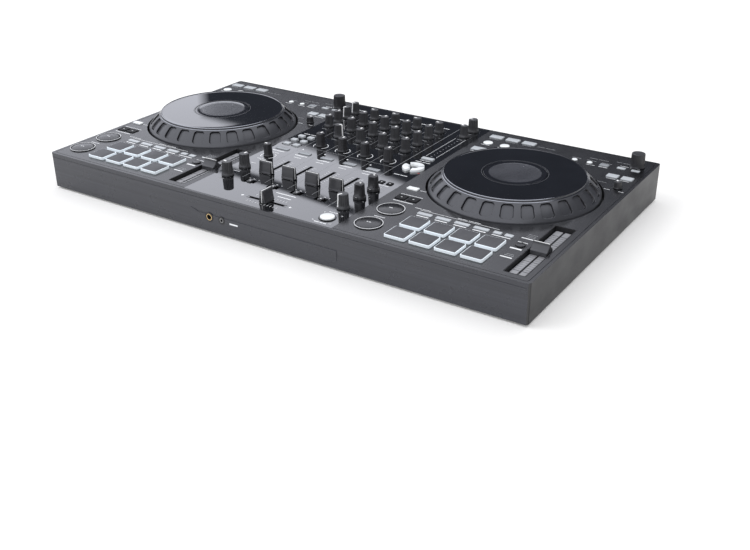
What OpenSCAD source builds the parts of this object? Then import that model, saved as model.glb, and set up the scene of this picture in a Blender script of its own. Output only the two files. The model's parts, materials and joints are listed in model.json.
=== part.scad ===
// Two-deck, four-channel performance controller with a built-in mixer.
// Millimetres, +Z up, front towards -Y, origin at the middle of the table footprint.

/* [Case] */
// Width of the case
case_w = 716; // [700:1:760]
// Depth of the case
case_d = 400.8; // [396:0.1:430]
// Height of the top panel above the table
panel_z = 52; // [50:0.5:70]
// Thickness of the top panel
panel_t = 3; // [2:0.5:4]
// Thickness of the side walls
wall_t = 3; // [2:0.5:3]
// Rounding of the upright corners
corner_r = 4; // [2:0.5:10]
// Height of the rubber feet
foot_h = 3; // [2.5:0.5:8]
// Radius of the rubber feet
foot_r = 12; // [8:1:16]
// Thickness of the steel base tray
tray_t = 1.6; // [1:0.2:2.4]
// Height of the tray's upturned lip
lip_h = 3; // [1:0.5:3.5]
// Height of the thicker band below the top edge of the front
band_h = 15; // [8:1:18]
// How far the front below that band is set back
band_step = 0.8; // [0.4:0.1:1.2]
// Height of the relief in the middle of the front
relief_h = 21; // [14:1:24]

/* [Mixer section] */
// Width of the mixer faceplate
mixer_w = 226; // [222:1:230]
// Sideways place of the mixer's middle
mixer_x = -4; // [-5:0.5:-3]
// Thickness of the mixer faceplate
faceplate_t = 1.5; // [1:0.25:2]
// Width of the ledge that the faceplate lies on
ledge_w = 2; // [1.5:0.5:2.5]
// Frame of the case that shows in front of and behind the faceplate
faceplate_margin = 3.4; // [3:0.1:6]
// Distance between two channels
channel_pitch = 36.7; // [34:0.1:38]
// Sideways place of the channels' middle
channels_x = -4.8; // [-6:0.1:-3]

/* [Decks] */
// Distance from a jog wheel's middle to the nearer side of the case
deck_margin = 121.75; // [121:0.25:123]
// Place of the jog wheels from front to back
jog_y = 21; // [19:0.5:23]

/* [Jog wheels] */
// Radius of the jog wheel's skirt
jog_r = 107; // [104:0.5:108]
// Radius of the flat top
jog_top_r = 86; // [80:0.5:88]
// Height of the jog wheel over the panel
jog_h = 21.7; // [18:0.1:26]
// Gap round the skirt
jog_gap = 3; // [2:0.5:4]
// Depth of the well under the wheel
well_depth = 12; // [10:0.5:12]
// Wall of the wheel's shell
jog_wall = 3; // [2:0.5:4]
// Number of finger dimples
dimples = 28; // [16:1:32]
// Radius of the round display in the middle
display_r = 39; // [30:0.5:42]
// Radius of the fixed spindle
spindle_r = 12; // [10:0.5:14]

/* [Knobs] */
// Radius of the control shafts
shaft_r = 3; // [2.5:0.1:3.2]
// Height of the tone and effect knobs
knob_h = 19; // [15:0.5:21]
// Height of the input trim knobs
trim_h = 15; // [12:0.5:21]
// Radius at the foot of a mixer knob
knob_r = 7.3; // [6.5:0.1:8]
// Radius of the browse encoders
browse_r = 10; // [8:0.5:10.5]

/* [Faders] */
// Travel of the channel faders and the crossfader
fader_travel = 45; // [40:1:46]
// Travel of the tempo sliders
tempo_travel = 100; // [90:1:110]
// Width of a mixer fader cap
cap_w = 18.5; // [16:0.5:20]
// Height of a mixer fader cap over the panel
cap_h = 16.5; // [12:0.5:20]
// Width of the fader slots
slot_w = 3; // [2.6:0.1:3.6]
// Thickness of the fader stems
stem_t = 1.6; // [1.2:0.1:2]
// Length of the fader stems along the slot
stem_l = 4; // [3:0.5:5]
// Depth of the tempo slider's tray
tempo_depth = 5; // [4:0.5:6]
// Width of the tempo slider's tray
tempo_w = 24; // [22:0.5:25]

/* [Keys and pads] */
// Travel of the keys
key_travel = 0.8; // [0.4:0.1:1]
// Radius of the play and cue buttons
transport_r = 17; // [14:0.5:17]
// Width and depth of a pad
pad_w = 27; // [24:0.5:28]
// Height of a pad over the panel
pad_h = 3.5; // [2:0.5:5]
// Sideways pitch of the pads
pad_pitch_x = 32.2; // [31:0.1:33]
// Front to back pitch of the pads
pad_pitch_y = 32.8; // [31:0.1:33]

/* [Sockets] */
// Bore of the large jack sockets
jack_bore_r = 3.25; // [3.2:0.05:3.5]
// Depth of the large jack sockets
jack_len = 16; // [14:0.5:20]
// Bore of the small jack socket
mini_bore_r = 1.85; // [1.8:0.05:2]
// Height of the front jack sockets above the table
jack_z = 23; // [20:0.5:24]

/* [Clearances] */
// Gap round a key, a pad or a socket in its hole
fit_gap = 0.3; // [0.2:0.05:0.4]
// Radial clearance of a shaft in its bearing
run_gap = 0.05; // [0.02:0.01:0.08]
// Gap under the knobs and fader caps
float_gap = 0.3; // [0.2:0.05:0.5]
// Gap of a shaft in a panel hole
hole_gap = 0.6; // [0.5:0.1:0.8]

/* [Hidden] */
$fn = 48;
ROWS = ["color", "low", "mid", "high", "trim"];
MIC_KNOBS = ["mic_low", "mic_high", "mic2_level", "mic1_level"];
SIDE_NAMES = ["left", "right"];
CHANNELS = [1, 2, 3, 4];

// Levels, from the table up
tray_top = foot_h + tray_t;
panel_under = panel_z - panel_t;
board_z = 30;
board_t = 1.6;
board_top = board_z + board_t;
part_gap = 0.2;                       // gap beside a stem in its groove, and over a switch
pot_w = 11;
pot_top = 42;
shaft_end = board_top + 2.4;
key_flange_t = 1.2;
plate_under = panel_z - faceplate_t;
key_rim = 1;                          // how far a key's flange reaches past its cap
key_stem_end = 37;
key_stem_r = 1.5;
switch_w = 6;
switch_top = key_stem_end - key_travel - part_gap;
cavity_x = case_w / 2 - wall_t;
cavity_y = case_d / 2 - wall_t;
deck_pitch = case_w - 2 * deck_margin;
board_d = case_d - 2 * wall_t - 22.8;
board_w = (case_w - 2 * wall_t) / 3 - 8.67;
post_r = 4;
post_inset = 11;

// Screws and standoffs near the front and rear walls
supply_w = 90;
supply_d = 70;
boss_r = 3.2;
screw_r = 1.4;
boss_y = cavity_y - 2 * fit_gap - tray_t - boss_r;
boss_side = cavity_x - 6.5;
boss_x = [-boss_side, -150, 150, boss_side];
screw_len = 14;
screw_head_r = 3;
screw_head_h = 1.5;

// Mixer faceplate and what stands on it
plate_d = case_d - 2 * faceplate_margin;
fader_slot_top = -53.5;               // rear end of the channel slots
fader_slot_l = fader_travel + stem_l + 5;
fader_y = fader_slot_top - fader_slot_l + 2.5 + stem_l / 2;
crossfader_x = -2;
crossfader_y = -175.5;
crossfader_slot_l = fader_travel + stem_l + 4;
fader_body_w = 10;
fader_body_end = 8;                   // how far a fader's body reaches past its slot
fader_body_top = 43;
fader_stem_end = 37;
fader_groove_z = 36;
fader_groove_w = stem_t + 2 * part_gap;
cap_d = 10.5;
cap_ridge_d = 6;
assign_y = -136;
assign_travel = 5;
assign_w = 17;
assign_d = 9;
left_x = mixer_x - mixer_w / 2 + 19;  // middle of the left control column
right_x = mixer_x + mixer_w / 2 - 20; // middle of the right control column
row_y = [16.5, 60, 92, 123, 152.5];
mic_y = [90, 113, 136, 159];

// Tempo sliders, measured from the jog wheel
tempo_x = 101.5;
tempo_y = -141.5;
tempo_l = tempo_travel + 33;
tempo_floor = panel_z - tempo_depth;
tempo_wall = 2;
tempo_cap_w = 20;
tempo_cap_d = 16;
tempo_cap_h = 9;

// Jog wheel
well_r = jog_r + jog_gap;
well_floor = panel_z - well_depth;
well_t = 2.5;
jog_top = panel_z + jog_h;
jog_foot = panel_z - 6;
jog_shoulder = panel_z + 1;
jog_ring_w = 3;
jog_dish = 0.8;                       // the flat top lies this much below its rim
flange_r = 30;
flange_t = 3;
web_z = panel_z + 6;
web_t = 3;
hub_wall = 4;
display_gap = 0.6;
dimple_r = 9;
dimple_cut = 1.6;

// Keys: [x, y, width, depth, height over the panel]; the decks' are measured from the jog wheel
cue_key = [-94.2, -137];
play_key = [-94.2, -185];
transport_h = 2.5;
pads_y = -175;
DECK_KEYS = concat(
    [for (i = [0:2]) [-102.5 + 25 * i, 156, 19, 11, 1.5]],     // call and delete
    [[-101, 100.5, 22, 12, 1.5]],                              // sync
    [[-104.5, -69, 15, 8, 1.5]],                               // shift
    [for (i = [0:1]) [-102.5 + 16.5 * i, -99, 14, 13, 1]],     // search
    [for (i = [0:3]) [-52.3 + 24.8 * i, -129, 19, 6, 1.5]],    // pad modes
    [for (i = [0:1]) [42.5 + 14.3 * i, -129, 10, 6, 1.5]],     // page
    [[65.4, 133.5, 12, 8, 1.5]],                               // quantize
    [for (i = [0:1]) [88 + 19 * i, 135, 11, 6, 1]],            // deck select
    [for (i = [0:1]) [88.5 + 19.5 * i, 103, 15, 11, 1.5]]);    // key lock and master
// Round keys: [x, y, radius, height over the panel]
DECK_ROUND_KEYS = concat(
    [for (i = [0:1]) [-103 + 25.5 * i, 130, 7, 1.5]],          // loop in and out
    [for (i = [0:1]) [24 + 21 * i, 133.5, 4, 1.5]],            // slip and vinyl
    [[78, -144, 5.5, 1.5]]);                                   // tempo reset
MIXER_KEYS = concat(
    [for (i = [0:1], j = [0:2]) [left_x - 7.5 + 16 * i, 17 * j, 12.5, 10.5, 3]],
    [[left_x, -20, 21, 7, 1]],
    [for (c = CHANNELS) [channel_x(c), -20, 19, 7, 1]],
    [[right_x + 2, 51, 18, 7, 1.5]],
    [for (i = [0:1]) [right_x - 6.5 + 12.5 * i, -50, 8, 8, 1]]);
MIXER_ROUND_KEYS = [[right_x - 0.5, -176, 10.5, 2.5]];
// Three fan-shaped keys round one point
fan_at = [right_x + 2.5, 13];
FAN_ANGLES = [90, 210, 330];
fan_in = 6.5;
fan_out = mixer_x + mixer_w / 2 - ledge_w - fan_at[0] - 2 * fit_gap;
fan_half = 48;
fan_h = 3;

// Knob shapes: [foot radius, shoulder radius, top radius, height]
ROW_SHAPES = [
    [knob_r, knob_r - 0.9, knob_r - 1.6, knob_h],
    [knob_r, knob_r - 1.1, knob_r - 1.8, knob_h],
    [knob_r, knob_r - 1.1, knob_r - 1.8, knob_h],
    [knob_r, knob_r - 1.1, knob_r - 1.8, knob_h],
    [knob_r, knob_r - 1.1, knob_r - 1.8, trim_h]];
side_shape = [knob_r - 0.6, knob_r - 1.4, knob_r - 2, knob_h - 1.5];
phones_shape = [knob_r + 0.7, knob_r - 0.5, knob_r - 1.5, knob_h];
select_shape = [knob_r + 0.9, knob_r - 0.6, knob_r - 1.2, knob_h + 0.5];
browse_shape = [browse_r, browse_r - 0.3, browse_r - 0.8, knob_h];
speed_shape = [6, 5.6, 5.2, 9];

// Sockets: places along the rear wall, as seen from the front
rear_z = 22;
rear_top = panel_z - band_h;
phono_x = [-20, -50, -80, -110];
phono_dz = 6.5;
phono_r = 4.15;
phono_len = 8;
phono_rim = 1.2;
bay_x = -65;
bay_w = 118;
bay_h = 24;
bay_d = 12;
bay_t = 2;
line_jack_x = [30, 50];
mic_jack_x = [-172, -196];
xlr_x = [102, 130];
usb_x = [192, 216];
// Box-shaped sockets: [width, height, depth, shell]
usb_box = [9, 8.4, 12, 1.5];
inlet_box = [20.6, 8, 14, 2.7];
inlet_x = 300;
power_x = 262;
front_jack_x = -75;
mini_jack_x = -55;
// Where the rear panel's plates meet: halfway between neighbouring sockets
PLATE_EDGES = [
    -cavity_x,
    (mic_jack_x[1] + mic_jack_x[0]) / 2,
    (mic_jack_x[0] + bay_x - bay_w / 2) / 2,
    (bay_x + bay_w / 2 + line_jack_x[0]) / 2,
    (line_jack_x[0] + line_jack_x[1]) / 2,
    (line_jack_x[1] + xlr_x[0]) / 2,
    (xlr_x[0] + xlr_x[1]) / 2,
    (xlr_x[1] + usb_x[0]) / 2,
    (usb_x[0] + usb_x[1]) / 2,
    (usb_x[1] + power_x) / 2,
    (power_x + inlet_x) / 2,
    cavity_x];
jack_body = 12;
mini_jack_len = 13;
nut_t = band_step;
nut_rim = 1.4;
collar_t = 1.6;
xlr_r = 9.5;
xlr_len = 12;
xlr_t = 1.5;
power_w = 12;
power_travel = 2;
power_switch_y = wall_t + power_travel + 4;

// Knobs: [name, x, y, shape, pointer's turn from straight back, clockwise]
function channel_x(c) = channels_x + (c - 2.5) * channel_pitch;
function row_turn(r, c) = r == 4 ? -80 : (r == 1 && c == 1 ? 90 : 0);
function deck_x(side) = mixer_x + side * deck_pitch / 2;
function side_name(side) = SIDE_NAMES[(side + 1) / 2];
MIXER_KNOBS = concat(
    [for (r = [0:4], c = CHANNELS)
        [str(ROWS[r], "_knob_", c), channel_x(c), row_y[r], ROW_SHAPES[r], row_turn(r, c)]],
    [for (i = [0:3]) [str(MIC_KNOBS[i], "_knob"), left_x, mic_y[i], side_shape, i < 2 ? 0 : -150]],
    [["effect_amount_knob", left_x, -51.5, side_shape, -85],
     ["phones_mix_knob", left_x, -101, phones_shape, 0],
     ["phones_level_knob", left_x, -135, phones_shape, -80],
     ["booth_knob", right_x + 1, 153, side_shape, -75],
     ["master_knob", right_x + 1, 180, phones_shape, -90],
     ["beat_select_knob", right_x - 1, -77.5, select_shape, 0],
     ["channel_select_knob", right_x - 1, -108, select_shape, 0],
     ["beat_level_knob", right_x - 1, -143, phones_shape, -150]]);
DECK_KNOBS = concat(
    [for (side = [-1, 1])
        [str("browse_knob_", side_name(side)), deck_x(side) + 103.5, jog_y + 151, browse_shape, 0]],
    [for (side = [-1, 1])
        [str("speed_knob_", side_name(side)), deck_x(side) + 108, jog_y + 69, speed_shape, side < 0 ? 0 : -40]]);
KNOBS = concat(MIXER_KNOBS, DECK_KNOBS);

// Fine lines cut into the panel and the front
line_w = 0.6;
line_depth = 0.4;
line_inset = 4;
seam_z = panel_z - 6;

// ---------- Shared shapes ----------

// Points of a rectangle with rounded corners, centred
function round_rect(w, d, r, n = 3) = [
    for (q = [0:3], i = [0:n])
        let (a = 90 * q + 90 * i / n,
             sx = (q == 0 || q == 3) ? 1 : -1,
             sy = q < 2 ? 1 : -1)
        [sx * (w / 2 - r) + r * cos(a), sy * (d / 2 - r) + r * sin(a)]];

// Points of a sector of a ring, centred on angle a
function ring_sector(r_in, r_out, a, half, n = 6) = concat(
    [for (i = [0:n]) let (t = a - half + 2 * half * i / n) [r_out * cos(t), r_out * sin(t)]],
    [for (i = [0:n]) let (t = a + half - 2 * half * i / n) [r_in * cos(t), r_in * sin(t)]]);

// Upright plate with rounded corners, from level z0 to level z1
module slab(w, d, r, z0, z1) {
    translate([0, 0, z0])
        linear_extrude(z1 - z0)
            polygon(round_rect(w, d, r));
}

// Box centred on X and Y, from level z0 to level z1
module block(w, d, z0, z1) {
    translate([-w / 2, -d / 2, z0])
        cube([w, d, z1 - z0]);
}

// Upright cylinder from level z0 to level z1
module post(r, z0, z1) {
    translate([0, 0, z0])
        cylinder(r = r, h = z1 - z0);
}

// Cylinder along Y, from y0 to y1
module rod_y(r, y0, y1) {
    translate([0, y0, 0])
        rotate([-90, 0, 0])
            cylinder(r = r, h = y1 - y0);
}

// Puts its children at both decks' jog wheels
module at_decks() {
    for (side = [-1, 1])
        translate([deck_x(side), jog_y, 0])
            children();
}

// Puts its children at each screw and its standoff
module at_bosses() {
    for (x = boss_x, s = [-1, 1])
        translate([x, s * boss_y, 0])
            children();
}

// Puts its children at each pad of one deck
module at_pads() {
    for (i = [-1.5:1.5], j = [-0.5, 0.5])
        translate([i * pad_pitch_x, pads_y + j * pad_pitch_y, 0])
            children();
}

// Puts its children at the play and cue buttons of one deck
module at_transport() {
    for (p = [cue_key, play_key])
        translate([p[0], p[1], 0])
            children();
}

// ---------- Keys ----------

// Level of the underside of a key's flange, under a panel whose underside is at level under
function flange_z(under) = under - fit_gap - key_flange_t;

// Rectangular key: cap, flange under the panel and the stem over its switch
module rect_key(k, under) {
    translate([k[0], k[1], 0]) {
        slab(k[2], k[3], 1, flange_z(under), panel_z + k[4]);
        slab(k[2] + 2 * key_rim, k[3] + 2 * key_rim, 1.5, flange_z(under), under - fit_gap);
        post(key_stem_r, key_stem_end, flange_z(under));
    }
}

module round_key(k, under) {
    translate([k[0], k[1], 0]) {
        post(k[2], flange_z(under), panel_z + k[3]);
        post(k[2] + key_rim, flange_z(under), under - fit_gap);
        post(key_stem_r, key_stem_end, flange_z(under));
    }
}

// Place of the stem of the fan-shaped key at angle a
function fan_stem(a) = fan_at + (fan_in + fan_out) / 2 * [cos(a), sin(a)];

// Fan-shaped key in the ring round fan_at
module fan_key(a) {
    translate([fan_at[0], fan_at[1], flange_z(plate_under)])
        linear_extrude(panel_z + fan_h - flange_z(plate_under))
            polygon(ring_sector(fan_in, fan_out, a, fan_half));
    translate(fan_stem(a))
        post(key_stem_r, key_stem_end, flange_z(plate_under) + 1);
}

// Holes for keys, cut right through a panel
module key_holes(rect_keys, round_keys) {
    for (k = rect_keys)
        translate([k[0], k[1], 0])
            slab(k[2] + 2 * fit_gap, k[3] + 2 * fit_gap, 1 + fit_gap, panel_under - 1, panel_z + 1);
    for (k = round_keys)
        translate([k[0], k[1], 0])
            post(k[2] + fit_gap, panel_under - 1, panel_z + 1);
}

// Push switches on a board, one under each key
module key_switches(rect_keys, round_keys) {
    for (k = concat(rect_keys, round_keys))
        translate([k[0], k[1], 0])
            block(switch_w, switch_w, board_top, switch_top);
}

// ---------- Knobs ----------

module knob(k) {
    shape = k[3];
    foot = panel_z + float_gap;
    skirt = foot + 2.2;
    top = panel_z + shape[3];
    translate([k[1], k[2], 0])
        difference() {
            union() {
                rotate_extrude()
                    polygon([[0, foot], [shape[0], foot], [shape[0], skirt], [shape[1], skirt + 1],
                             [shape[2], top - 0.8], [shape[2] - 0.8, top], [0, top]]);
                post(shaft_r, shaft_end, foot + 1);
            }
            rotate([0, 0, -k[4]])
                translate([-0.6, 1, top - 0.5])
                    cube([1.2, shape[2] + 1, 1]);
        }
}

// Potentiometer or encoder body with a bearing for the knob's shaft
module pot(k) {
    translate([k[1], k[2], 0])
        difference() {
            block(pot_w, pot_w, board_top, pot_top);
            post(shaft_r + run_gap, shaft_end - fit_gap, pot_top + 1);
        }
}

module shaft_holes(knobs) {
    for (k = knobs)
        translate([k[1], k[2], 0])
            post(shaft_r + hole_gap, panel_under - 1, panel_z + 1);
}

// ---------- Faders ----------

// Body of a fader under its slot, with the groove that the stem runs in
module fader_body(slot_l) {
    difference() {
        block(fader_body_w, slot_l + 2 * fader_body_end, board_top, fader_body_top);
        block(fader_groove_w, slot_l, fader_groove_z, fader_body_top + 1);
    }
}

// Wedge-shaped cap with a ridge on top, running along Y, and its stem
module fader_cap() {
    foot = panel_z + float_gap;
    top = panel_z + cap_h;
    translate([-cap_w / 2, 0, 0])
        rotate([90, 0, 90])
            linear_extrude(cap_w)
                polygon([[-cap_d / 2, foot], [cap_d / 2, foot], [cap_d / 2, foot + 2],
                         [cap_ridge_d / 2, top - 1], [cap_ridge_d / 2 - 1, top],
                         [1 - cap_ridge_d / 2, top], [-cap_ridge_d / 2, top - 1],
                         [-cap_d / 2, foot + 2]]);
    block(stem_t, stem_l, fader_stem_end, foot + 1);
}

module channel_fader(c) {
    color("dimgray")
        translate([channel_x(c), fader_y, 0])
            fader_cap();
}

module crossfader() {
    color("dimgray")
        translate([crossfader_x, crossfader_y, 0])
            rotate([0, 0, 90])
                fader_cap();
}

// Slots of the mixer's faders, or the bodies under them
module at_channel_slots() {
    for (c = CHANNELS)
        translate([channel_x(c), fader_slot_top - fader_slot_l / 2, 0])
            children();
}

module at_crossfader_slot() {
    translate([crossfader_x, crossfader_y, 0])
        rotate([0, 0, 90])
            children();
}

// Saddle-shaped tempo cap with a dip across its middle
module tempo_slider(side) {
    foot = tempo_floor + float_gap;
    top = tempo_floor + tempo_depth + tempo_cap_h;
    dip = 3;
    steps = 8;
    color("dimgray")
        translate([deck_x(side) + tempo_x, jog_y + tempo_y, 0]) {
            translate([-tempo_cap_w / 2, 0, 0])
                rotate([90, 0, 90])
                    linear_extrude(tempo_cap_w)
                        polygon(concat(
                            [[-tempo_cap_d / 2, foot], [tempo_cap_d / 2, foot]],
                            [for (i = [0:steps]) let (t = 1 - 2 * i / steps)
                                [t * (tempo_cap_d / 2 - 1), top - dip * (1 - t * t)]]));
            block(stem_t, stem_l, fader_stem_end, foot + 1);
        }
}

// ---------- Jog wheels ----------

module jog_wheel(side) {
    slope_x = jog_r - jog_top_r - jog_ring_w;
    slope_z = jog_top - 3 - jog_shoulder;
    slope = atan2(slope_z, slope_x);
    slope_l = norm([slope_x, slope_z]);
    inner = display_r + display_gap;
    hub_r = spindle_r + run_gap;
    color("dimgray")
        translate([deck_x(side), jog_y, 0])
            difference() {
                rotate_extrude($fn = 96)
                    polygon([
                        [hub_r, well_floor + flange_t + fit_gap],
                        [hub_r + hub_wall, well_floor + flange_t + fit_gap],
                        [hub_r + hub_wall, web_z],
                        [inner + jog_wall, web_z],
                        [inner + jog_wall, jog_top - jog_dish - jog_wall],
                        [jog_top_r - jog_wall, jog_top - jog_dish - jog_wall],
                        [jog_r - jog_wall, jog_shoulder - 0.5],
                        [jog_r - jog_wall, jog_foot],
                        [jog_r, jog_foot],
                        [jog_r, jog_shoulder],
                        [jog_top_r + jog_ring_w, jog_top - 3],
                        [jog_top_r + jog_ring_w, jog_top - 1],
                        [jog_top_r + jog_ring_w - 1, jog_top],
                        [jog_top_r + 0.5, jog_top],
                        [jog_top_r, jog_top - jog_dish],
                        [inner, jog_top - jog_dish],
                        [inner, web_z + web_t],
                        [hub_r, web_z + web_t]]);
                for (i = [0:dimples - 1])
                    rotate([0, 0, 360 * i / dimples])
                        translate([jog_r, 0, jog_shoulder])
                            rotate([0, slope, 0])
                                translate([-slope_l + 3, 0, dimple_r - dimple_cut])
                                    rotate([0, 90, 0])
                                        cylinder(r = dimple_r, h = slope_l - 6);
            }
}

// Fixed spindle of each wheel, with the round display on its end
module jog_spindles() {
    color("silver")
        at_decks() {
            post(flange_r, well_floor, well_floor + flange_t);
            post(spindle_r, well_floor + flange_t, web_z + web_t + fit_gap);
            post(display_r, web_z + web_t + fit_gap, jog_top - jog_dish);
        }
}

// ---------- Case ----------

// Front and sides below the panel, and the panel itself, still without openings
module case_shell() {
    front_y = -case_d / 2;
    difference() {
        slab(case_w, case_d, corner_r, foot_h, panel_z);
        slab(case_w - 2 * wall_t, case_d - 2 * wall_t, max(corner_r - wall_t, 0.5), foot_h - 1, panel_under);
        for (y = [front_y - 1, -front_y - band_step])
            translate([-case_w / 2 - 1, y, foot_h - 1])
                cube([case_w + 2, 1 + band_step, panel_z - band_h - foot_h + 1]);
    }
    translate([mixer_x, front_y + band_step, (panel_z - band_h + foot_h) / 2])
        rotate([90, 0, 0])
            linear_extrude(band_step - 0.2)
                polygon([[-mixer_w / 2 + 12, relief_h / 2], [-mixer_w / 2 + 25, relief_h / 2 - 4],
                         [mixer_w / 2 + 8, relief_h / 2 - 4], [mixer_w / 2 + 8, 4 - relief_h / 2],
                         [mixer_w / 2, -relief_h / 2], [-mixer_w / 2 + 12, -relief_h / 2]]);
    at_decks() {
        post(well_r + well_t, well_floor - well_t, panel_under + 1);
        translate([tempo_x, tempo_y, 0])
            slab(tempo_w + 2 * tempo_wall, tempo_l + 2 * tempo_wall, 2, tempo_floor - tempo_wall, panel_under + 1);
    }
}

// Hole in the rear panel for a box-shaped socket
module box_hole(x, b, y0, y1) {
    w = b[0] + 2 * b[3] + 2 * fit_gap;
    h = b[1] + 2 * b[3] + 2 * fit_gap;
    translate([x - w / 2, y0, rear_z - h / 2])
        cube([w, y1 - y0, h]);
}

// Openings in the rear panel for the sockets and the power button
module rear_openings() {
    y0 = cavity_y - 1;
    y1 = case_d / 2 + 1;
    translate([bay_x - bay_w / 2, case_d / 2 - bay_d, rear_z - bay_h / 2])
        cube([bay_w, bay_d + 1, bay_h]);
    for (x = phono_x, s = [-1, 1])
        translate([x, 0, rear_z + s * phono_dz])
            rod_y(phono_r - 1 + fit_gap, case_d / 2 - bay_d - bay_t - 1, y1);
    for (x = concat(line_jack_x, mic_jack_x))
        translate([x, 0, rear_z])
            rod_y(jack_bore_r + collar_t + fit_gap, y0, y1);
    for (x = xlr_x)
        translate([x, 0, rear_z])
            rod_y(xlr_r + xlr_t + fit_gap, y0, y1);
    for (x = usb_x)
        box_hole(x, usb_box, y0, y1);
    box_hole(inlet_x, inlet_box, y0, y1);
    translate([power_x - power_w / 2 - fit_gap, y0, rear_z - power_w / 2 - fit_gap])
        cube([power_w + 2 * fit_gap, y1 - y0, power_w + 2 * fit_gap]);
}

// Openings in the front wall for the phones sockets
module front_openings() {
    y0 = cavity_y - 1;
    y1 = case_d / 2 + 1;
    for (j = [[front_jack_x, jack_bore_r], [mini_jack_x, mini_bore_r]])
        translate([j[0], 0, jack_z]) {
            rod_y(j[1] + collar_t + fit_gap, -y1, -y0);
            rod_y(j[1] + collar_t + nut_rim + fit_gap, -y1, -case_d / 2 + band_step);
        }
}

module top_case() {
    color("darkslategray")
        difference() {
            case_shell();
            translate([mixer_x, 0, 0]) {
                slab(mixer_w, plate_d, 1, panel_z - faceplate_t, panel_z + 1);
                slab(mixer_w - 2 * ledge_w, plate_d - 2 * ledge_w, 1, panel_under - 1, panel_z);
            }
            at_decks() {
                post(well_r, well_floor, panel_z + 1);
                post(spindle_r - 4, well_floor - well_t - 1, well_floor + 1);
                translate([tempo_x, tempo_y, 0]) {
                    slab(tempo_w, tempo_l, 1.5, tempo_floor, panel_z + 1);
                    block(slot_w, tempo_travel + stem_l + 4, tempo_floor - tempo_wall - 1, tempo_floor + 1);
                }
                at_pads()
                    slab(pad_w + 2 * fit_gap, pad_w + 2 * fit_gap, 2, panel_under - 1, panel_z + 1);
                at_transport()
                    post(transport_r + fit_gap, panel_under - 1, panel_z + 1);
                key_holes(DECK_KEYS, DECK_ROUND_KEYS);
            }
            shaft_holes(DECK_KNOBS);
            front_openings();
            // The rear panel's place
            translate([-cavity_x, cavity_y - 1, foot_h - 1])
                cube([2 * cavity_x, wall_t + 2, rear_top - foot_h + 1]);
            // Fine line round the panel, and the seam along the front
            difference() {
                slab(case_w - 2 * line_inset, case_d - 2 * line_inset, corner_r, panel_z - line_depth, panel_z + 1);
                slab(case_w - 2 * line_inset - 2 * line_w, case_d - 2 * line_inset - 2 * line_w, corner_r,
                     panel_z - 1, panel_z + 2);
            }
            translate([-case_w / 2 - 1, -case_d / 2 - 1, seam_z])
                cube([case_w + 2, 1 + line_depth, line_w]);
        }
}

// Row of plates, each with the hole of one socket, or the bay of the phono sockets
module rear_panel() {
    color("dimgray")
        difference() {
            union() {
                for (i = [1:len(PLATE_EDGES) - 1])
                    translate([PLATE_EDGES[i - 1] + part_gap, cavity_y, foot_h])
                        cube([PLATE_EDGES[i] - PLATE_EDGES[i - 1] - 2 * part_gap, wall_t - band_step,
                              rear_top - part_gap - foot_h]);
                translate([bay_x - bay_w / 2 - bay_t, case_d / 2 - bay_d - bay_t, rear_z - bay_h / 2 - bay_t])
                    cube([bay_w + 2 * bay_t, bay_d + bay_t - wall_t + 1, bay_h + 2 * bay_t]);
            }
            rear_openings();
        }
}

module mixer_faceplate() {
    color("black")
        difference() {
            translate([mixer_x, 0, 0])
                slab(mixer_w - 2 * part_gap, plate_d - 2 * part_gap, 1, panel_z - faceplate_t, panel_z);
            shaft_holes(MIXER_KNOBS);
            key_holes(MIXER_KEYS, MIXER_ROUND_KEYS);
            for (a = FAN_ANGLES)
                translate([fan_at[0], fan_at[1], panel_under - 1])
                    linear_extrude(panel_t + 2)
                        polygon(ring_sector(fan_in - fit_gap, fan_out + fit_gap, a, fan_half + 2));
            at_channel_slots()
                block(slot_w, fader_slot_l, panel_under - 1, panel_z + 1);
            at_crossfader_slot()
                block(slot_w, crossfader_slot_l, panel_under - 1, panel_z + 1);
            for (c = CHANNELS)
                translate([channel_x(c), assign_y, 0])
                    block(assign_w, assign_d, panel_under - 1, panel_z + 1);
        }
}

module base_tray() {
    w = case_w - 2 * wall_t - 2 * fit_gap;
    d = case_d - 2 * wall_t - 2 * fit_gap;
    r = max(corner_r - wall_t, 0.5);
    color("dimgray")
        difference() {
            union() {
                difference() {
                    slab(w, d, r, foot_h, tray_top + lip_h);
                    slab(w - 2 * tray_t, d - 2 * tray_t, r, tray_top, tray_top + lip_h + 1);
                }
                for (x = [deck_x(-1), mixer_x, deck_x(1)], sx = [-1, 1], sy = [-1, 1])
                    translate([x + sx * (board_w / 2 - post_inset), sy * (board_d / 2 - post_inset - 5), 0])
                        post(post_r, foot_h, board_z);
            }
            at_bosses()
                post(screw_r + run_gap, foot_h - 1, tray_top + 1);
        }
}

module rubber_feet() {
    color("black")
        for (x = [-case_w / 2 + 38, 0, case_w / 2 - 38], s = [-1, 1])
            translate([x, s * (case_d / 2 - 32), 0])
                post(foot_r, 0, foot_h);
}

// Screws through the tray, and the standoffs between tray and panel that they run into
module case_screws() {
    color("silver")
        at_bosses() {
            post(screw_head_r, foot_h - screw_head_h, foot_h);
            post(screw_r, foot_h - 1, tray_top + screw_len - 1);
            difference() {
                post(boss_r, tray_top, panel_under);
                post(screw_r + run_gap, tray_top - 1, tray_top + screw_len);
            }
        }
}

// ---------- Inside ----------

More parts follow.
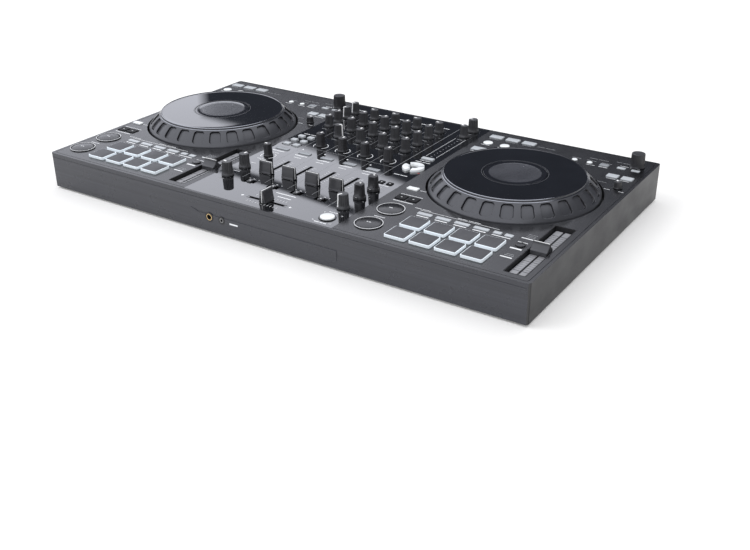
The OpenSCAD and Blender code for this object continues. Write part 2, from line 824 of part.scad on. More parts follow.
module circuit_boards() {
    color("darkgreen") {
        for (x = [deck_x(-1), mixer_x, deck_x(1)])
            translate([x, 0, 0])
                block(board_w, board_d, board_z, board_top);
        at_channel_slots()
            fader_body(fader_slot_l);
        at_crossfader_slot()
            fader_body(crossfader_slot_l);
        at_decks() {
            translate([tempo_x, tempo_y, 0])
                fader_body(tempo_travel + stem_l + 4);
            key_switches(DECK_KEYS, DECK_ROUND_KEYS);
            at_pads()
                block(switch_w, switch_w, board_top, switch_top);
            at_transport()
                block(switch_w, switch_w, board_top, switch_top);
        }
        key_switches(MIXER_KEYS, MIXER_ROUND_KEYS);
        key_switches([for (a = FAN_ANGLES) fan_stem(a)], []);
        for (c = CHANNELS)
            translate([channel_x(c), assign_y, 0])
                rotate([0, 0, 90])
                    fader_body(2 * assign_travel + stem_l + 1);
        for (k = KNOBS)
            pot(k);
        // Power supply, on the tray behind the mains inlet
        translate([(inlet_x + power_x) / 2, board_d / 4 + 20, 0])
            block(supply_w, supply_d, tray_top, board_z - 4);
    }
}

// Switches that send each channel to a side of the crossfader
module assign_switches() {
    color("black")
        for (c = CHANNELS)
            translate([channel_x(c), assign_y, 0]) {
                block(assign_w - 2 * assign_travel - 2 * fit_gap, assign_d - 2 * fit_gap, panel_under - 2, panel_z + 1.5);
                block(stem_l, stem_t, fader_stem_end, panel_under - 1);
            }
}

// ---------- Keys of each kind ----------

module mixer_keys() {
    color("white") {
        for (k = MIXER_KEYS)
            rect_key(k, plate_under);
        for (k = MIXER_ROUND_KEYS)
            round_key(k, plate_under);
        for (a = FAN_ANGLES)
            fan_key(a);
    }
}

module deck_keys() {
    color("lightgray")
        at_decks() {
            for (k = DECK_KEYS)
                rect_key(k, panel_under);
            for (k = DECK_ROUND_KEYS)
                round_key(k, panel_under);
        }
}

module transport_keys() {
    color("dimgray")
        at_decks()
            at_transport()
                round_key([0, 0, transport_r, transport_h], panel_under);
}

// Eight pads on one rubber mat for each deck
module performance_pads() {
    color("gray")
        at_decks() {
            at_pads() {
                slab(pad_w, pad_w, 2, flange_z(panel_under), panel_z + pad_h - 1);
                slab(pad_w - 2, pad_w - 2, 2, panel_z + pad_h - 1, panel_z + pad_h);
                post(key_stem_r, key_stem_end, flange_z(panel_under));
            }
            translate([0, pads_y, 0])
                slab(3 * pad_pitch_x + pad_w + 2, pad_pitch_y + pad_w + 2, 2, flange_z(panel_under), panel_under - fit_gap);
        }
}

// ---------- Sockets ----------

// Large jack socket along +Y, with its mouth at y = 0
module jack_socket(bore_r, body_w, bore_l) {
    difference() {
        union() {
            translate([-body_w / 2, wall_t, -body_w / 2])
                cube([body_w, bore_l + 2 - wall_t, body_w]);
            rod_y(bore_r + collar_t, 0, wall_t + 1);
            rod_y(bore_r + collar_t + nut_rim, 0, nut_t);
        }
        rod_y(bore_r, -1, bore_l);
    }
}

// Phono socket along +Y on the floor of its bay, which is at y = 0
module phono_socket() {
    difference() {
        union() {
            rod_y(phono_r, -phono_len, 0);
            rod_y(phono_r + phono_rim, -1, 0);
            rod_y(phono_r - 1, -1, bay_t);
        }
        rod_y(1.8, -phono_len - 1, 1);
    }
}

// Three-pin output socket along +Y, with its mouth at y = 0
module xlr_socket() {
    difference() {
        union() {
            rod_y(xlr_r + xlr_t, 0, xlr_len + 2);
            rod_y(xlr_r + 2 * xlr_t, wall_t, xlr_len + 2);
        }
        rod_y(xlr_r, -1, xlr_len);
    }
    for (a = [90, 210, 330])
        translate([6 * cos(a), 0, 6 * sin(a)])
            rod_y(1.2, 2, xlr_len + 1);
}

// Box-shaped socket along +Y, open at y = 0
module box_socket(b) {
    w = b[0];
    h = b[1];
    depth = b[2];
    shell = b[3];
    difference() {
        union() {
            translate([-w / 2 - shell, 0, -h / 2 - shell])
                cube([w + 2 * shell, depth + shell, h + 2 * shell]);
            translate([-w / 2 - shell - 1, wall_t, -h / 2 - shell - 1])
                cube([w + 2 * shell + 2, depth + shell - wall_t, h + 2 * shell + 2]);
        }
        translate([-w / 2, -1, -h / 2])
            cube([w, depth + 1, h]);
    }
}

module sockets() {
    color("silver") {
        translate([front_jack_x, -case_d / 2, jack_z])
            jack_socket(jack_bore_r, jack_body, jack_len);
        translate([mini_jack_x, -case_d / 2, jack_z])
            jack_socket(mini_bore_r, 8, mini_jack_len);
        translate([0, case_d / 2, rear_z])
            mirror([0, 1, 0]) {
                for (x = concat(line_jack_x, mic_jack_x))
                    translate([x, 0, 0])
                        jack_socket(jack_bore_r, jack_body, jack_len);
                for (x = phono_x, s = [-1, 1])
                    translate([x, bay_d, s * phono_dz])
                        phono_socket();
                for (x = xlr_x)
                    translate([x, 0, 0])
                        xlr_socket();
                for (x = usb_x)
                    translate([x, 0, 0])
                        box_socket(usb_box);
                translate([inlet_x, 0, 0])
                    box_socket(inlet_box);
                // Switch behind the power button
                translate([power_x - power_w / 2 - 2, power_switch_y, -power_w / 2 - 2])
                    cube([power_w + 4, 8, power_w + 4]);
            }
    }
}

module power_button() {
    color("dimgray")
        translate([power_x, case_d / 2, rear_z]) {
            translate([-power_w / 2, -wall_t - 1, -power_w / 2])
                cube([power_w, wall_t + 1, power_w]);
            translate([-power_w / 2 - 1, -wall_t - fit_gap - 1.5, -power_w / 2 - 1])
                cube([power_w + 2, 1.5, power_w + 2]);
            rod_y(2, -power_switch_y + power_travel + part_gap, -wall_t - 1);
        }
}

// ---------- Assembly ----------

top_case();
rear_panel();
base_tray();
mixer_faceplate();
circuit_boards();
jog_spindles();
sockets();
rubber_feet();
case_screws();
jog_wheel(-1);  // jog_wheel_left
jog_wheel(1);  // jog_wheel_right
tempo_slider(-1);  // tempo_slider_left
tempo_slider(1);  // tempo_slider_right
crossfader();
assign_switches();
mixer_keys();
deck_keys();
transport_keys();
performance_pads();
power_button();
for (c = CHANNELS)
    channel_fader(c);
for (k = KNOBS)
    color("dimgray") knob(k);
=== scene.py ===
"""Looks of a two-deck, four-channel DJ console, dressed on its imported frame.

Shapes are worked out as whole arrays, in millimetres, in the frame's own axes: +X to the player's
right, +Y to the rear, +Z up out of the control panel. They become metres when a mesh is made.
Places and sizes come from the frame wherever it has them: a knob's axis and pointer from its joint,
a key's outline from its solid.
"""
import json
import logging
import math
from dataclasses import dataclass, replace
from enum import Enum, IntEnum
from typing import Callable

import bpy
import numpy as np
from mathutils import Matrix, Vector


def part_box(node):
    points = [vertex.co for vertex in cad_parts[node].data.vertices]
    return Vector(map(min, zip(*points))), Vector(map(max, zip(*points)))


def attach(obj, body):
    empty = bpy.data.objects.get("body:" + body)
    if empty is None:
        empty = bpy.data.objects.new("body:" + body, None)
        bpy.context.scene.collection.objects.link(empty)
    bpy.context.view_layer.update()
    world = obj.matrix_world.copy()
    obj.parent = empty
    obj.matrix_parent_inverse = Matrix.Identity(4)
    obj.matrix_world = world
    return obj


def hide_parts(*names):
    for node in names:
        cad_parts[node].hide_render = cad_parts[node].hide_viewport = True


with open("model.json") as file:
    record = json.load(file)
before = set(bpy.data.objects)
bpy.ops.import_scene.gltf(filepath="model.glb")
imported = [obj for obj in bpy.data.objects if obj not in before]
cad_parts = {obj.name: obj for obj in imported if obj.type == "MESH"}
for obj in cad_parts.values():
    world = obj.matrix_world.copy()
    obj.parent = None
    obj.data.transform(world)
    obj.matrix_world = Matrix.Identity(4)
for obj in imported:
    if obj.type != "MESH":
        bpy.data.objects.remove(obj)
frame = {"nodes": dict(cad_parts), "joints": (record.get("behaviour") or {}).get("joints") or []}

LOG = logging.getLogger("console")
MM = 0.001
Array = np.ndarray
CHASSIS = "chassis"
SIDES = ("left", "right")
CHANNELS = (1, 2, 3, 4)


# ---------------------------------------------------------------- shapes as arrays


@dataclass
class Shape:
    """One or more closed surfaces: points in millimetres, faces by corner count, a finish per face."""

    points: Array
    quads: Array
    tris: Array
    quad_finish: Array = None
    tri_finish: Array = None

    def __post_init__(self) -> None:
        """Gives every face finish 0 where none is stated."""
        if self.quad_finish is None:
            self.quad_finish = np.zeros(len(self.quads), np.int32)
        if self.tri_finish is None:
            self.tri_finish = np.zeros(len(self.tris), np.int32)

    def painted(self, finish: int) -> "Shape":
        """Returns the shape with one finish index on all its faces."""
        return replace(self, quad_finish=np.full(len(self.quads), finish, np.int32),
                       tri_finish=np.full(len(self.tris), finish, np.int32))

    def painted_where(self, test: Callable, finish: int) -> "Shape":
        """Paints the faces whose middle passes a test.

        Args:
            test: takes an (n, 3) array of face middles and returns an (n,) mask.
            finish: the finish index those faces get.

        Returns:
            The repainted shape.
        """
        quad_mid = self.points[self.quads].mean(1) if len(self.quads) else np.zeros((0, 3))
        tri_mid = self.points[self.tris].mean(1) if len(self.tris) else np.zeros((0, 3))
        return replace(self, quad_finish=np.where(test(quad_mid), finish, self.quad_finish),
                       tri_finish=np.where(test(tri_mid), finish, self.tri_finish))

    def moved(self, x: float = 0.0, y: float = 0.0, z: float = 0.0) -> "Shape":
        """Returns the shape moved by that much."""
        return replace(self, points=self.points + np.array([x, y, z]))

    def turned(self, degrees: float) -> "Shape":
        """Turns the shape clockwise about Z, as a knob's pointer turns, seen from above.

        Args:
            degrees: how far.

        Returns:
            The turned shape.
        """
        a = math.radians(-degrees)
        spin = np.array([[math.cos(a), -math.sin(a), 0], [math.sin(a), math.cos(a), 0], [0, 0, 1]])
        return replace(self, points=self.points @ spin.T)

    def laid(self, axes: Array) -> "Shape":
        """Returns the shape with its X, Y and Z laid along the three rows of axes."""
        return replace(self, points=self.points @ np.asarray(axes, float))

    def outward(self) -> "Shape":
        """Turns the faces outwards where they point inwards, which the sign of the volume tells.

        Returns:
            The shape with outward faces.
        """
        p = self.points
        parts = [self.tris, self.quads[:, [0, 1, 2]], self.quads[:, [0, 2, 3]]]
        t = np.concatenate([q for q in parts if len(q)])
        volume = np.einsum("ij,ij->i", p[t[:, 0]], np.cross(p[t[:, 1]], p[t[:, 2]])).sum()
        if volume >= 0:
            return self
        return replace(self, quads=self.quads[:, ::-1], tris=self.tris[:, ::-1])

    def repeated(self, offsets: Array) -> "Shape":
        """Copies the shape.

        Args:
            offsets: (n, 3) moves, one for each copy.

        Returns:
            One shape that holds all the copies.
        """
        n, size = len(offsets), len(self.points)
        points = (self.points[None] + np.asarray(offsets, float)[:, None]).reshape(-1, 3)
        step = (np.arange(n) * size)[:, None, None]
        return Shape(points, (self.quads[None] + step).reshape(-1, 4),
                     (self.tris[None] + step).reshape(-1, 3),
                     np.tile(self.quad_finish, n), np.tile(self.tri_finish, n))

    @staticmethod
    def join(shapes: "list[Shape]") -> "Shape":
        """Puts shapes together.

        Args:
            shapes: the shapes, with finish indices that share one list.

        Returns:
            One shape that holds them all.
        """
        starts = np.cumsum([0] + [len(s.points) for s in shapes[:-1]])
        return Shape(np.concatenate([s.points for s in shapes]),
                     np.concatenate([s.quads + k for s, k in zip(shapes, starts)]),
                     np.concatenate([s.tris + k for s, k in zip(shapes, starts)]),
                     np.concatenate([s.quad_finish for s in shapes]),
                     np.concatenate([s.tri_finish for s in shapes]))


NO_TRIS = np.zeros((0, 3), np.int64)


def skin(rings: Array, loop: bool = False, caps: bool = True) -> Shape:
    """Joins rings of points into a closed surface.

    Args:
        rings: (rows, columns, 3) points; each row is one ring, closed on itself.
        loop: the last row joins the first, as round a hoop.
        caps: the two end rows are closed, each by a fan to its middle.

    Returns:
        The surface, its faces outwards.
    """
    rows, cols = rings.shape[:2]
    points = rings.reshape(-1, 3)
    r = np.arange(rows if loop else rows - 1)[:, None]
    c = np.arange(cols)[None]
    a, b = r * cols + c, r * cols + (c + 1) % cols
    up = ((r + 1) % rows) * cols
    quads = np.stack([a, b, up + (c + 1) % cols, up + c], -1).reshape(-1, 4)
    tris = NO_TRIS
    if caps and not loop:
        first, last = len(points), len(points) + 1
        points = np.concatenate([points, rings[0].mean(0)[None], rings[-1].mean(0)[None]])
        k, top = np.arange(cols), (rows - 1) * cols
        tris = np.concatenate([
            np.stack([np.full(cols, first), (k + 1) % cols, k], -1),
            np.stack([np.full(cols, last), top + k, top + (k + 1) % cols], -1)])
    return Shape(points, quads, tris).outward()


def revolved(profile: Array, segments: int = 64, loop: bool = False, cut: Callable = None) -> Shape:
    """Turns a profile of (radius, height) points about Z into a surface.

    Args:
        profile: (n, 2) points, from the lower end to the upper one.
        segments: how many columns go round.
        loop: the profile is a closed outline, as a hoop's is.
        cut: gives what comes off the radius at (1, columns) angles and (rows, 1) heights.

    Returns:
        The surface, its faces outwards.
    """
    p = np.asarray(profile, float)
    turn = np.linspace(0, 2 * np.pi, segments, endpoint=False)[None]
    radius, height = p[:, :1], p[:, 1:]
    if cut is not None:
        radius = radius - cut(turn, height)
    rings = np.stack([radius * np.cos(turn), radius * np.sin(turn), height + 0 * turn], -1)
    return skin(rings, loop=loop)


def rounded_outline(width: float, depth: float, radius: float, steps: int = 5) -> Array:
    """Draws a rectangle with rounded corners about the origin.

    Args:
        width: size on X.
        depth: size on Y.
        radius: radius of the corners, at most half the smaller size.
        steps: spans in each quarter round.

    Returns:
        (n, 2) points, anticlockwise.
    """
    radius = min(radius, width / 2 - 1e-3, depth / 2 - 1e-3)
    q = np.repeat(np.arange(4), steps + 1)
    a = np.radians(90 * q + np.tile(np.linspace(0, 90, steps + 1), 4))
    sx, sy = np.array([1, -1, -1, 1])[q], np.array([1, 1, -1, -1])[q]
    return np.stack([sx * (width / 2 - radius) + radius * np.cos(a),
                     sy * (depth / 2 - radius) + radius * np.sin(a)], -1)


def inset(outline: Array, amount: float) -> Array:
    """Moves each point of an outline inwards, square to the line of its neighbours.

    Args:
        outline: (n, 2) anticlockwise points.
        amount: how far, in millimetres.

    Returns:
        The outline that is drawn in.
    """
    along = np.roll(outline, -1, 0) - np.roll(outline, 1, 0)
    along /= np.linalg.norm(along, axis=1, keepdims=True) + 1e-9
    return outline + amount * np.stack([-along[:, 1], along[:, 0]], -1)


def uneven(knots: list[float], counts: list[int]) -> Array:
    """Returns points from the first knot to the last, counts of them evenly in each span."""
    at = np.concatenate([[0], np.cumsum(counts)])
    return np.interp(np.arange(at[-1] + 1), at, knots)


def block(outline: Array, low: float, high: float, edge: float = 0.4, crown: float = 0.0,
          steps: int = 4) -> Shape:
    """Raises an outline into a solid whose top edge is a quarter round and whose top may be domed.

    The outline is drawn in by edge * (1 - cos a) as it climbs by edge * sin a, and then by rings
    shrunk towards the middle that rise as crown * (1 - t * t), t being their size.

    Args:
        outline: (n, 2) anticlockwise points.
        low: height of the underside.
        high: height of the rounded edge's end.
        edge: radius of the quarter round.
        crown: how much higher the middle is than the edge; below 0 for a dished top.
        steps: rings in the quarter round.

    Returns:
        The solid.
    """
    a = np.linspace(0, np.pi / 2, steps + 1)
    rings = [np.column_stack([outline, np.full(len(outline), low)])]
    for k in a:
        ring = inset(outline, edge * (1 - math.cos(k)))
        rings.append(np.column_stack([ring, np.full(len(ring), high - edge * (1 - math.sin(k)))]))
    if crown:
        rim = rings[-1][:, :2]
        middle = rim.mean(0)
        for t in np.linspace(0.88, 0.12, 6):
            ring = middle + (rim - middle) * t
            rings.append(np.column_stack([ring, np.full(len(ring), high + crown * (1 - t * t))]))
    return skin(np.stack(rings))


def strip(path: Array, half_width: float, out: float, below: float = 0.3) -> Shape:
    """Lays a flat band along a path in the Y-Z plane, standing a little proud of it.

    Each path point carries four corners, to either side of it, above it along its own normal and under it.

    Args:
        path: (n, 2) points of Y and Z.
        half_width: half the band's width on X.
        out: how far it stands over the path.
        below: how deep it is sunk.

    Returns:
        The band.
    """
    p = np.asarray(path, float)
    along = np.gradient(p, axis=0)
    along /= np.linalg.norm(along, axis=1, keepdims=True) + 1e-9
    normal = np.stack([-along[:, 1], along[:, 0]], -1)
    if normal[0, 1] < 0:
        normal = -normal
    top, under = p + normal * out, p - normal * below
    side = np.full(len(p), half_width)
    rings = np.stack([np.column_stack([-side, top]), np.column_stack([side, top]),
                      np.column_stack([side, under]), np.column_stack([-side, under])], 1)
    return skin(rings)


def bars(x: Array, y: Array, width: Array, depth: Array, top: float, thick: float = 0.12,
         degrees: Array = 0.0) -> Shape:
    """Makes many thin upright boxes at once, as printed marks.

    Args:
        x, y: middles of the marks.
        width, depth: sizes along their own X and Y.
        top: height of their upper faces.
        thick: thickness, most of it sunk in what they are printed on.
        degrees: how far each is turned, anticlockwise.

    Returns:
        The boxes.
    """
    x, y, w, d, a = np.broadcast_arrays(*[np.atleast_1d(np.asarray(v, float))
                                          for v in (x, y, width, depth, np.radians(degrees))])
    corner = np.array([[-1, -1], [1, -1], [1, 1], [-1, 1]]) / 2
    lx, ly = corner[None, :, 0] * w[:, None], corner[None, :, 1] * d[:, None]
    px = x[:, None] + lx * np.cos(a)[:, None] - ly * np.sin(a)[:, None]
    py = y[:, None] + lx * np.sin(a)[:, None] + ly * np.cos(a)[:, None]
    low = np.stack([px, py, np.full_like(px, top - thick)], -1)
    high = np.stack([px, py, np.full_like(px, top)], -1)
    points = np.concatenate([low, high], 1).reshape(-1, 3)
    face = np.array([[0, 3, 2, 1], [4, 5, 6, 7], [0, 1, 5, 4], [1, 2, 6, 5], [2, 3, 7, 6], [3, 0, 4, 7]])
    quads = (face[None] + 8 * np.arange(len(x))[:, None, None]).reshape(-1, 4)
    return Shape(points, quads, NO_TRIS)


def arc_band(radius: float, width: float, start: float, end: float, top: float,
             thick: float = 0.12, steps: int = 28) -> Shape:
    """Makes a flat band along an arc.

    Args:
        radius: radius of its middle line.
        width: its width.
        start, end: its ends, in degrees clockwise from straight back.
        top: height of its upper face.
        thick: thickness.
        steps: points along it.

    Returns:
        The band.
    """
    a = np.radians(np.linspace(start, end, steps))
    inner, outer = radius - width / 2, radius + width / 2
    corner = [(inner, top - thick), (outer, top - thick), (outer, top), (inner, top)]
    rings = np.stack([np.stack([r * np.sin(a), r * np.cos(a), np.full_like(a, z)], -1)
                      for r, z in corner], 1)
    return skin(rings)


def disc(radius: float, top: float, thick: float = 0.12, segments: int = 24) -> Shape:
    """Makes a thin round mark."""
    return revolved([(radius, top - thick), (radius, top)], segments)


def ring(inner: float, outer: float, low: float, high: float, segments: int = 64) -> Shape:
    """Makes a hoop of rectangular section."""
    return revolved([(outer, low), (outer, high), (inner, high), (inner, low)], segments, loop=True)


# ---------------------------------------------------------------- the frame's own sizes


@dataclass
class Solid:
    """One separate solid of a CAD node, in millimetres."""

    points: Array

    @property
    def low(self) -> Array:
        """Lowest corner."""
        return self.points.min(0)

    @property
    def high(self) -> Array:
        """Highest corner."""
        return self.points.max(0)

    @property
    def top_points(self) -> Array:
        """Points at its highest level."""
        return self.points[self.points[:, 2] > self.high[2] - 0.01]

    @property
    def middle(self) -> Array:
        """Middle of its top, on X and Y."""
        return (self.top_points.min(0) + self.top_points.max(0))[:2] / 2

    @property
    def top_size(self) -> Array:
        """Width and depth of its top."""
        return (self.top_points.max(0) - self.top_points.min(0))[:2]

    @property
    def is_round(self) -> bool:
        """Whether its top is a circle."""
        reach = np.linalg.norm(self.top_points[:, :2] - self.middle, axis=1)
        return bool(reach.max() < 0.52 * self.top_size.min())


def solids(node: str) -> list[Solid]:
    """Splits a CAD node into its separate solids.

    Points at one place share a label. The labels at the corners of each triangle are made equal to
    the lowest of them, again and again, until nothing changes.

    Args:
        node: the CAD node.

    Returns:
        Its solids.
    """
    mesh = frame["nodes"][node].data
    raw = np.empty(len(mesh.vertices) * 3)
    mesh.vertices.foreach_get("co", raw)
    corners = np.empty(len(mesh.loops), np.int64)
    mesh.loops.foreach_get("vertex_index", corners)
    points, same = np.unique(np.round(raw.reshape(-1, 3) / MM, 3), axis=0, return_inverse=True)
    tris = same.reshape(-1)[corners].reshape(-1, 3)
    label = np.arange(len(points))
    while True:
        before = label.copy()
        least = label[tris].min(1)
        np.minimum.at(label, tris.ravel(), np.repeat(least, 3))
        label = label[label]
        if (label == before).all():
            break
    return [Solid(points[label == k]) for k in np.unique(label)]


def box(node: str) -> tuple[Array, Array]:
    """Returns a CAD node's lowest and highest corners at rest, in millimetres."""
    low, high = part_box(node)
    return np.array(low) / MM, np.array(high) / MM


JOINTS = {joint["child"]: joint for joint in frame["joints"]}


def axis_of(node: str) -> Array:
    """Returns the X and Y of the axis that a knob or a wheel turns on."""
    return np.array(JOINTS[node]["pos_m"][:2]) / MM


def pointer_of(node: str) -> float:
    """Returns a knob's pointer at rest, in degrees clockwise from straight back, the middle of its range."""
    reach = JOINTS[node].get("range_deg")
    return -sum(reach) / 2 if reach else 0.0


def middle_of(node: str) -> Array:
    """Returns the middle of a CAD node's box, on X and Y."""
    return np.mean(box(node), axis=0)[:2]


PANEL = box("mixer_faceplate")[1][2]
PRINT = PANEL + 0.05
KEY_SUNK = 3.0
TRAY_FLOOR = PANEL - 5
TRAY_AT = (101.5, -141.5)
JOG_AT = {side: axis_of(f"jog_wheel_{side}") for side in SIDES}
START_KEY = (88.5, -176.0)
TONE_ROWS = ("low", "mid", "high", "trim")
TONE_KNOBS = [f"{row}_knob_{c}" for row in TONE_ROWS for c in CHANNELS]
COLOR_KNOBS = [f"color_knob_{c}" for c in CHANNELS]
LEVELS = ("mic_low", "mic_high", "mic2_level", "mic1_level", "booth", "master", "phones_mix", "phones_level",
          "beat_level")
LEVEL_KNOBS = [name + "_knob" for name in LEVELS]
EFFECT_KNOB = "effect_amount_knob"
SELECTORS = ("beat_select_knob", "channel_select_knob")


# ---------------------------------------------------------------- finishes


class Graph:
    """The node tree of one material, with short calls for the nodes that the finishes share."""

    def __init__(self, name: str) -> None:
        """Starts a material that holds one Principled shader.

        Args:
            name: the material's name.
        """
        self.material = bpy.data.materials.new(name)
        self.material.use_nodes = True
        self.nodes, self.links = self.material.node_tree.nodes, self.material.node_tree.links
        self.shader = self.nodes["Principled BSDF"]
        self.object = self.nodes.new("ShaderNodeTexCoord").outputs["Object"]

    def add(self, kind: str, inputs: dict = {}, **settings) -> bpy.types.Node:
        """Adds a node.

        Args:
            kind: the node's type, without its leading word ShaderNode.
            inputs: numbers or sockets by the input's name or index.
            settings: the node's own settings.

        Returns:
            The node.
        """
        node = self.nodes.new("ShaderNode" + kind)
        for key, value in settings.items():
            setattr(node, key, value)
        for key, value in inputs.items():
            if isinstance(value, bpy.types.NodeSocket):
                self.links.new(value, node.inputs[key])
            else:
                node.inputs[key].default_value = value
        return node

    def math(self, operation: str, a: object, b: object = 0.0) -> bpy.types.NodeSocket:
        """Works out one step of arithmetic on two numbers or sockets."""
        return self.add("Math", {0: a, 1: b}, operation=operation).outputs[0]

    def noise(self, size: float, detail: float = 3.0, stretch: tuple = (1, 1, 1)) -> bpy.types.NodeSocket:
        """Makes noise that follows the object.

        Args:
            size: about how many millimetres a spot is across.
            detail: how many finer layers are added.
            stretch: how much longer the spots are along each axis.

        Returns:
            The noise, from 0 to 1.
        """
        place = self.add("Mapping", {"Vector": self.object, "Scale": [1 / (size * MM * s) for s in stretch]})
        spots = self.add("TexNoise", {"Vector": place.outputs[0], "Scale": 1.0, "Detail": detail})
        return spots.outputs["Fac"]

    def sees_backdrop(self) -> bpy.types.NodeSocket:
        """Tells the rays that show the surroundings from those that light a surface.

        Returns:
            1 for a ray of the camera, of gloss or through glass, and 0 otherwise.
        """
        path = self.add("LightPath").outputs
        through = self.math("MAXIMUM", path["Is Glossy Ray"], path["Is Transmission Ray"])
        return self.math("MAXIMUM", path["Is Camera Ray"], through)

    def spread(self, value: object, low: float, high: float, start: float = 0.3,
               end: float = 0.7) -> bpy.types.NodeSocket:
        """Maps start to end onto low to high."""
        return self.add("MapRange", {"Value": value, "From Min": start, "From Max": end,
                                     "To Min": low, "To Max": high}).outputs[0]

    def blend(self, factor: object, first: tuple, second: tuple) -> bpy.types.NodeSocket:
        """Mixes two colours, each a triple or a socket."""
        whole = [c if isinstance(c, bpy.types.NodeSocket) else (*c, 1.0) for c in (first, second)]
        return self.add("Mix", {0: factor, 6: whole[0], 7: whole[1]}, data_type="RGBA").outputs[2]

    def bump(self, height: object, depth: float, strength: float = 1.0) -> None:
        """Raises the surface, on top of any earlier bump.

        Args:
            height: a socket that gives the height, from 0 to 1.
            depth: what 1 stands for, in millimetres.
            strength: how much of the bump is taken.
        """
        node = self.add("Bump", {"Height": height, "Distance": depth * MM, "Strength": strength})
        normal = self.shader.inputs["Normal"]
        if normal.is_linked:
            self.links.new(normal.links[0].from_socket, node.inputs["Normal"])
        self.links.new(node.outputs[0], normal)

    def wire(self, name: str, socket: bpy.types.NodeSocket) -> None:
        """Feeds a socket of the shader."""
        self.links.new(socket, self.shader.inputs[name])

    def set(self, **values: float) -> None:
        """Sets sockets of the shader to constants; an underscore stands for a space."""
        for key, value in values.items():
            self.shader.inputs[key.replace("_", " ")].default_value = value


MADE: dict[str, bpy.types.Material] = {}


class SkyGraph(Graph):
    """The node tree of the world, with the same calls."""

    def __init__(self, name: str) -> None:
        """Starts an empty world; object holds the direction that is looked in.

        Args:
            name: the world's name.
        """
        world = bpy.data.worlds.new(name)
        bpy.context.scene.world = world
        world.use_nodes = True
        self.nodes, self.links = world.node_tree.nodes, world.node_tree.links
        self.nodes.clear()
        self.object = self.add("TexCoord").outputs["Generated"]


@dataclass(frozen=True)
class Finish:
    """A moulded or painted surface: its colour drifts a little, its gloss is handled, and it has grain."""

    name: str
    color: tuple[float, float, float]
    roughness: float = 0.5
    metallic: float = 0.0
    grain: float = 0.5
    grain_depth: float = 0.02
    mottle: float = 0.12
    smudge: float = 0.06
    coat: float = 0.0
    glow: float = 0.0
    specular: float = 0.5
    coat_rough: float = 0.04
    drift_size: float = 35.0
    wear_size: float = 22.0

    def dress(self, graph: Graph) -> None:
        """Wires the colour drift, the handled gloss and the grain.

        Args:
            graph: the node tree of the finish's material.
        """
        dim = tuple(c * (1 - self.mottle) for c in self.color)
        lit = tuple(min(1.0, c * (1 + self.mottle)) for c in self.color)
        graph.wire("Base Color", graph.blend(graph.spread(graph.noise(self.drift_size, 5.0), 0, 1), dim, lit))
        worn = graph.noise(self.wear_size, 6.0, (1, 1.7, 1))
        graph.wire("Roughness", graph.spread(worn, max(0.02, self.roughness - self.smudge),
                                             self.roughness + self.smudge))
        graph.bump(graph.noise(self.grain, 2.0), self.grain_depth)
        graph.set(Metallic=self.metallic, Coat_Weight=self.coat, Coat_Roughness=self.coat_rough,
                  Specular_IOR_Level=self.specular)
        if self.glow:
            graph.set(Emission_Color=(*self.color, 1.0), Emission_Strength=self.glow)

    def material(self) -> bpy.types.Material:
        """Makes the finish's material the first time it is asked for.

        Returns:
            The material.
        """
        if self.name not in MADE:
            graph = Graph(self.name)
            self.dress(graph)
            graph.material.diffuse_color = (*self.color, 1.0)
            MADE[self.name] = graph.material
        return MADE[self.name]


@dataclass(frozen=True)
class SpunMetal(Finish):
    """Metal turned on a lathe about an upright axis: fine rings about its middle."""

    middle: tuple[float, float] = (0.0, 0.0)
    pitch: float = 0.6

    def dress(self, graph: Graph) -> None:
        """Adds rings: noise read along the distance from the axis, in the bump and the gloss.

        Args:
            graph: the node tree of the finish's material.
        """
        super().dress(graph)
        place = graph.add("VectorMath", {0: graph.object, 1: (self.middle[0] * MM, self.middle[1] * MM, 0)},
                          operation="SUBTRACT").outputs[0]
        x, y, z = graph.add("SeparateXYZ", {0: place}).outputs
        squares = [graph.math("MULTIPLY", v, v) for v in (x, y)]
        reach = graph.math("SQRT", graph.math("ADD", *squares))
        line = graph.add("CombineXYZ", {0: reach, 1: z, 2: 0.0}).outputs[0]
        size = 1 / (self.pitch * MM)
        rings = graph.add("TexNoise", {"Vector": line, "Scale": size, "Detail": 3.0}).outputs["Fac"]
        graph.bump(rings, 0.02, 0.6)
        graph.wire("Roughness", graph.spread(rings, max(0.03, self.roughness - self.smudge),
                                             self.roughness + self.smudge))


@dataclass(frozen=True)
class BoardGreen(Finish):
    """A circuit board: solder mask over tracks, with tinned pads."""

    track_scale: float = 160.0
    pad_scale: float = 260.0
    tin: tuple[float, float, float] = (0.62, 0.62, 0.6)

    def dress(self, graph: Graph) -> None:
        """Lays tracks as thin lines between the cells of a square Voronoi pattern, and pads as dots.

        Args:
            graph: the node tree of the finish's material.
        """
        super().dress(graph)
        place = graph.add("Mapping", {"Vector": graph.object, "Scale": (1, 1, 0)}).outputs[0]
        cells = graph.add("TexVoronoi", {"Vector": place, "Scale": self.track_scale}, distance="CHEBYCHEV",
                          feature="F1").outputs["Distance"]
        track = graph.spread(cells, 0, 1, 0.44, 0.5)
        dots = graph.add("TexVoronoi", {"Vector": place, "Scale": self.pad_scale, "Randomness": 0.4})
        pad = graph.spread(dots.outputs["Distance"], 1, 0, 0.16, 0.2)
        green = graph.blend(track, self.color, tuple(2.2 * c for c in self.color))
        graph.wire("Base Color", graph.blend(pad, green, self.tin))
        graph.bump(track, 0.05)


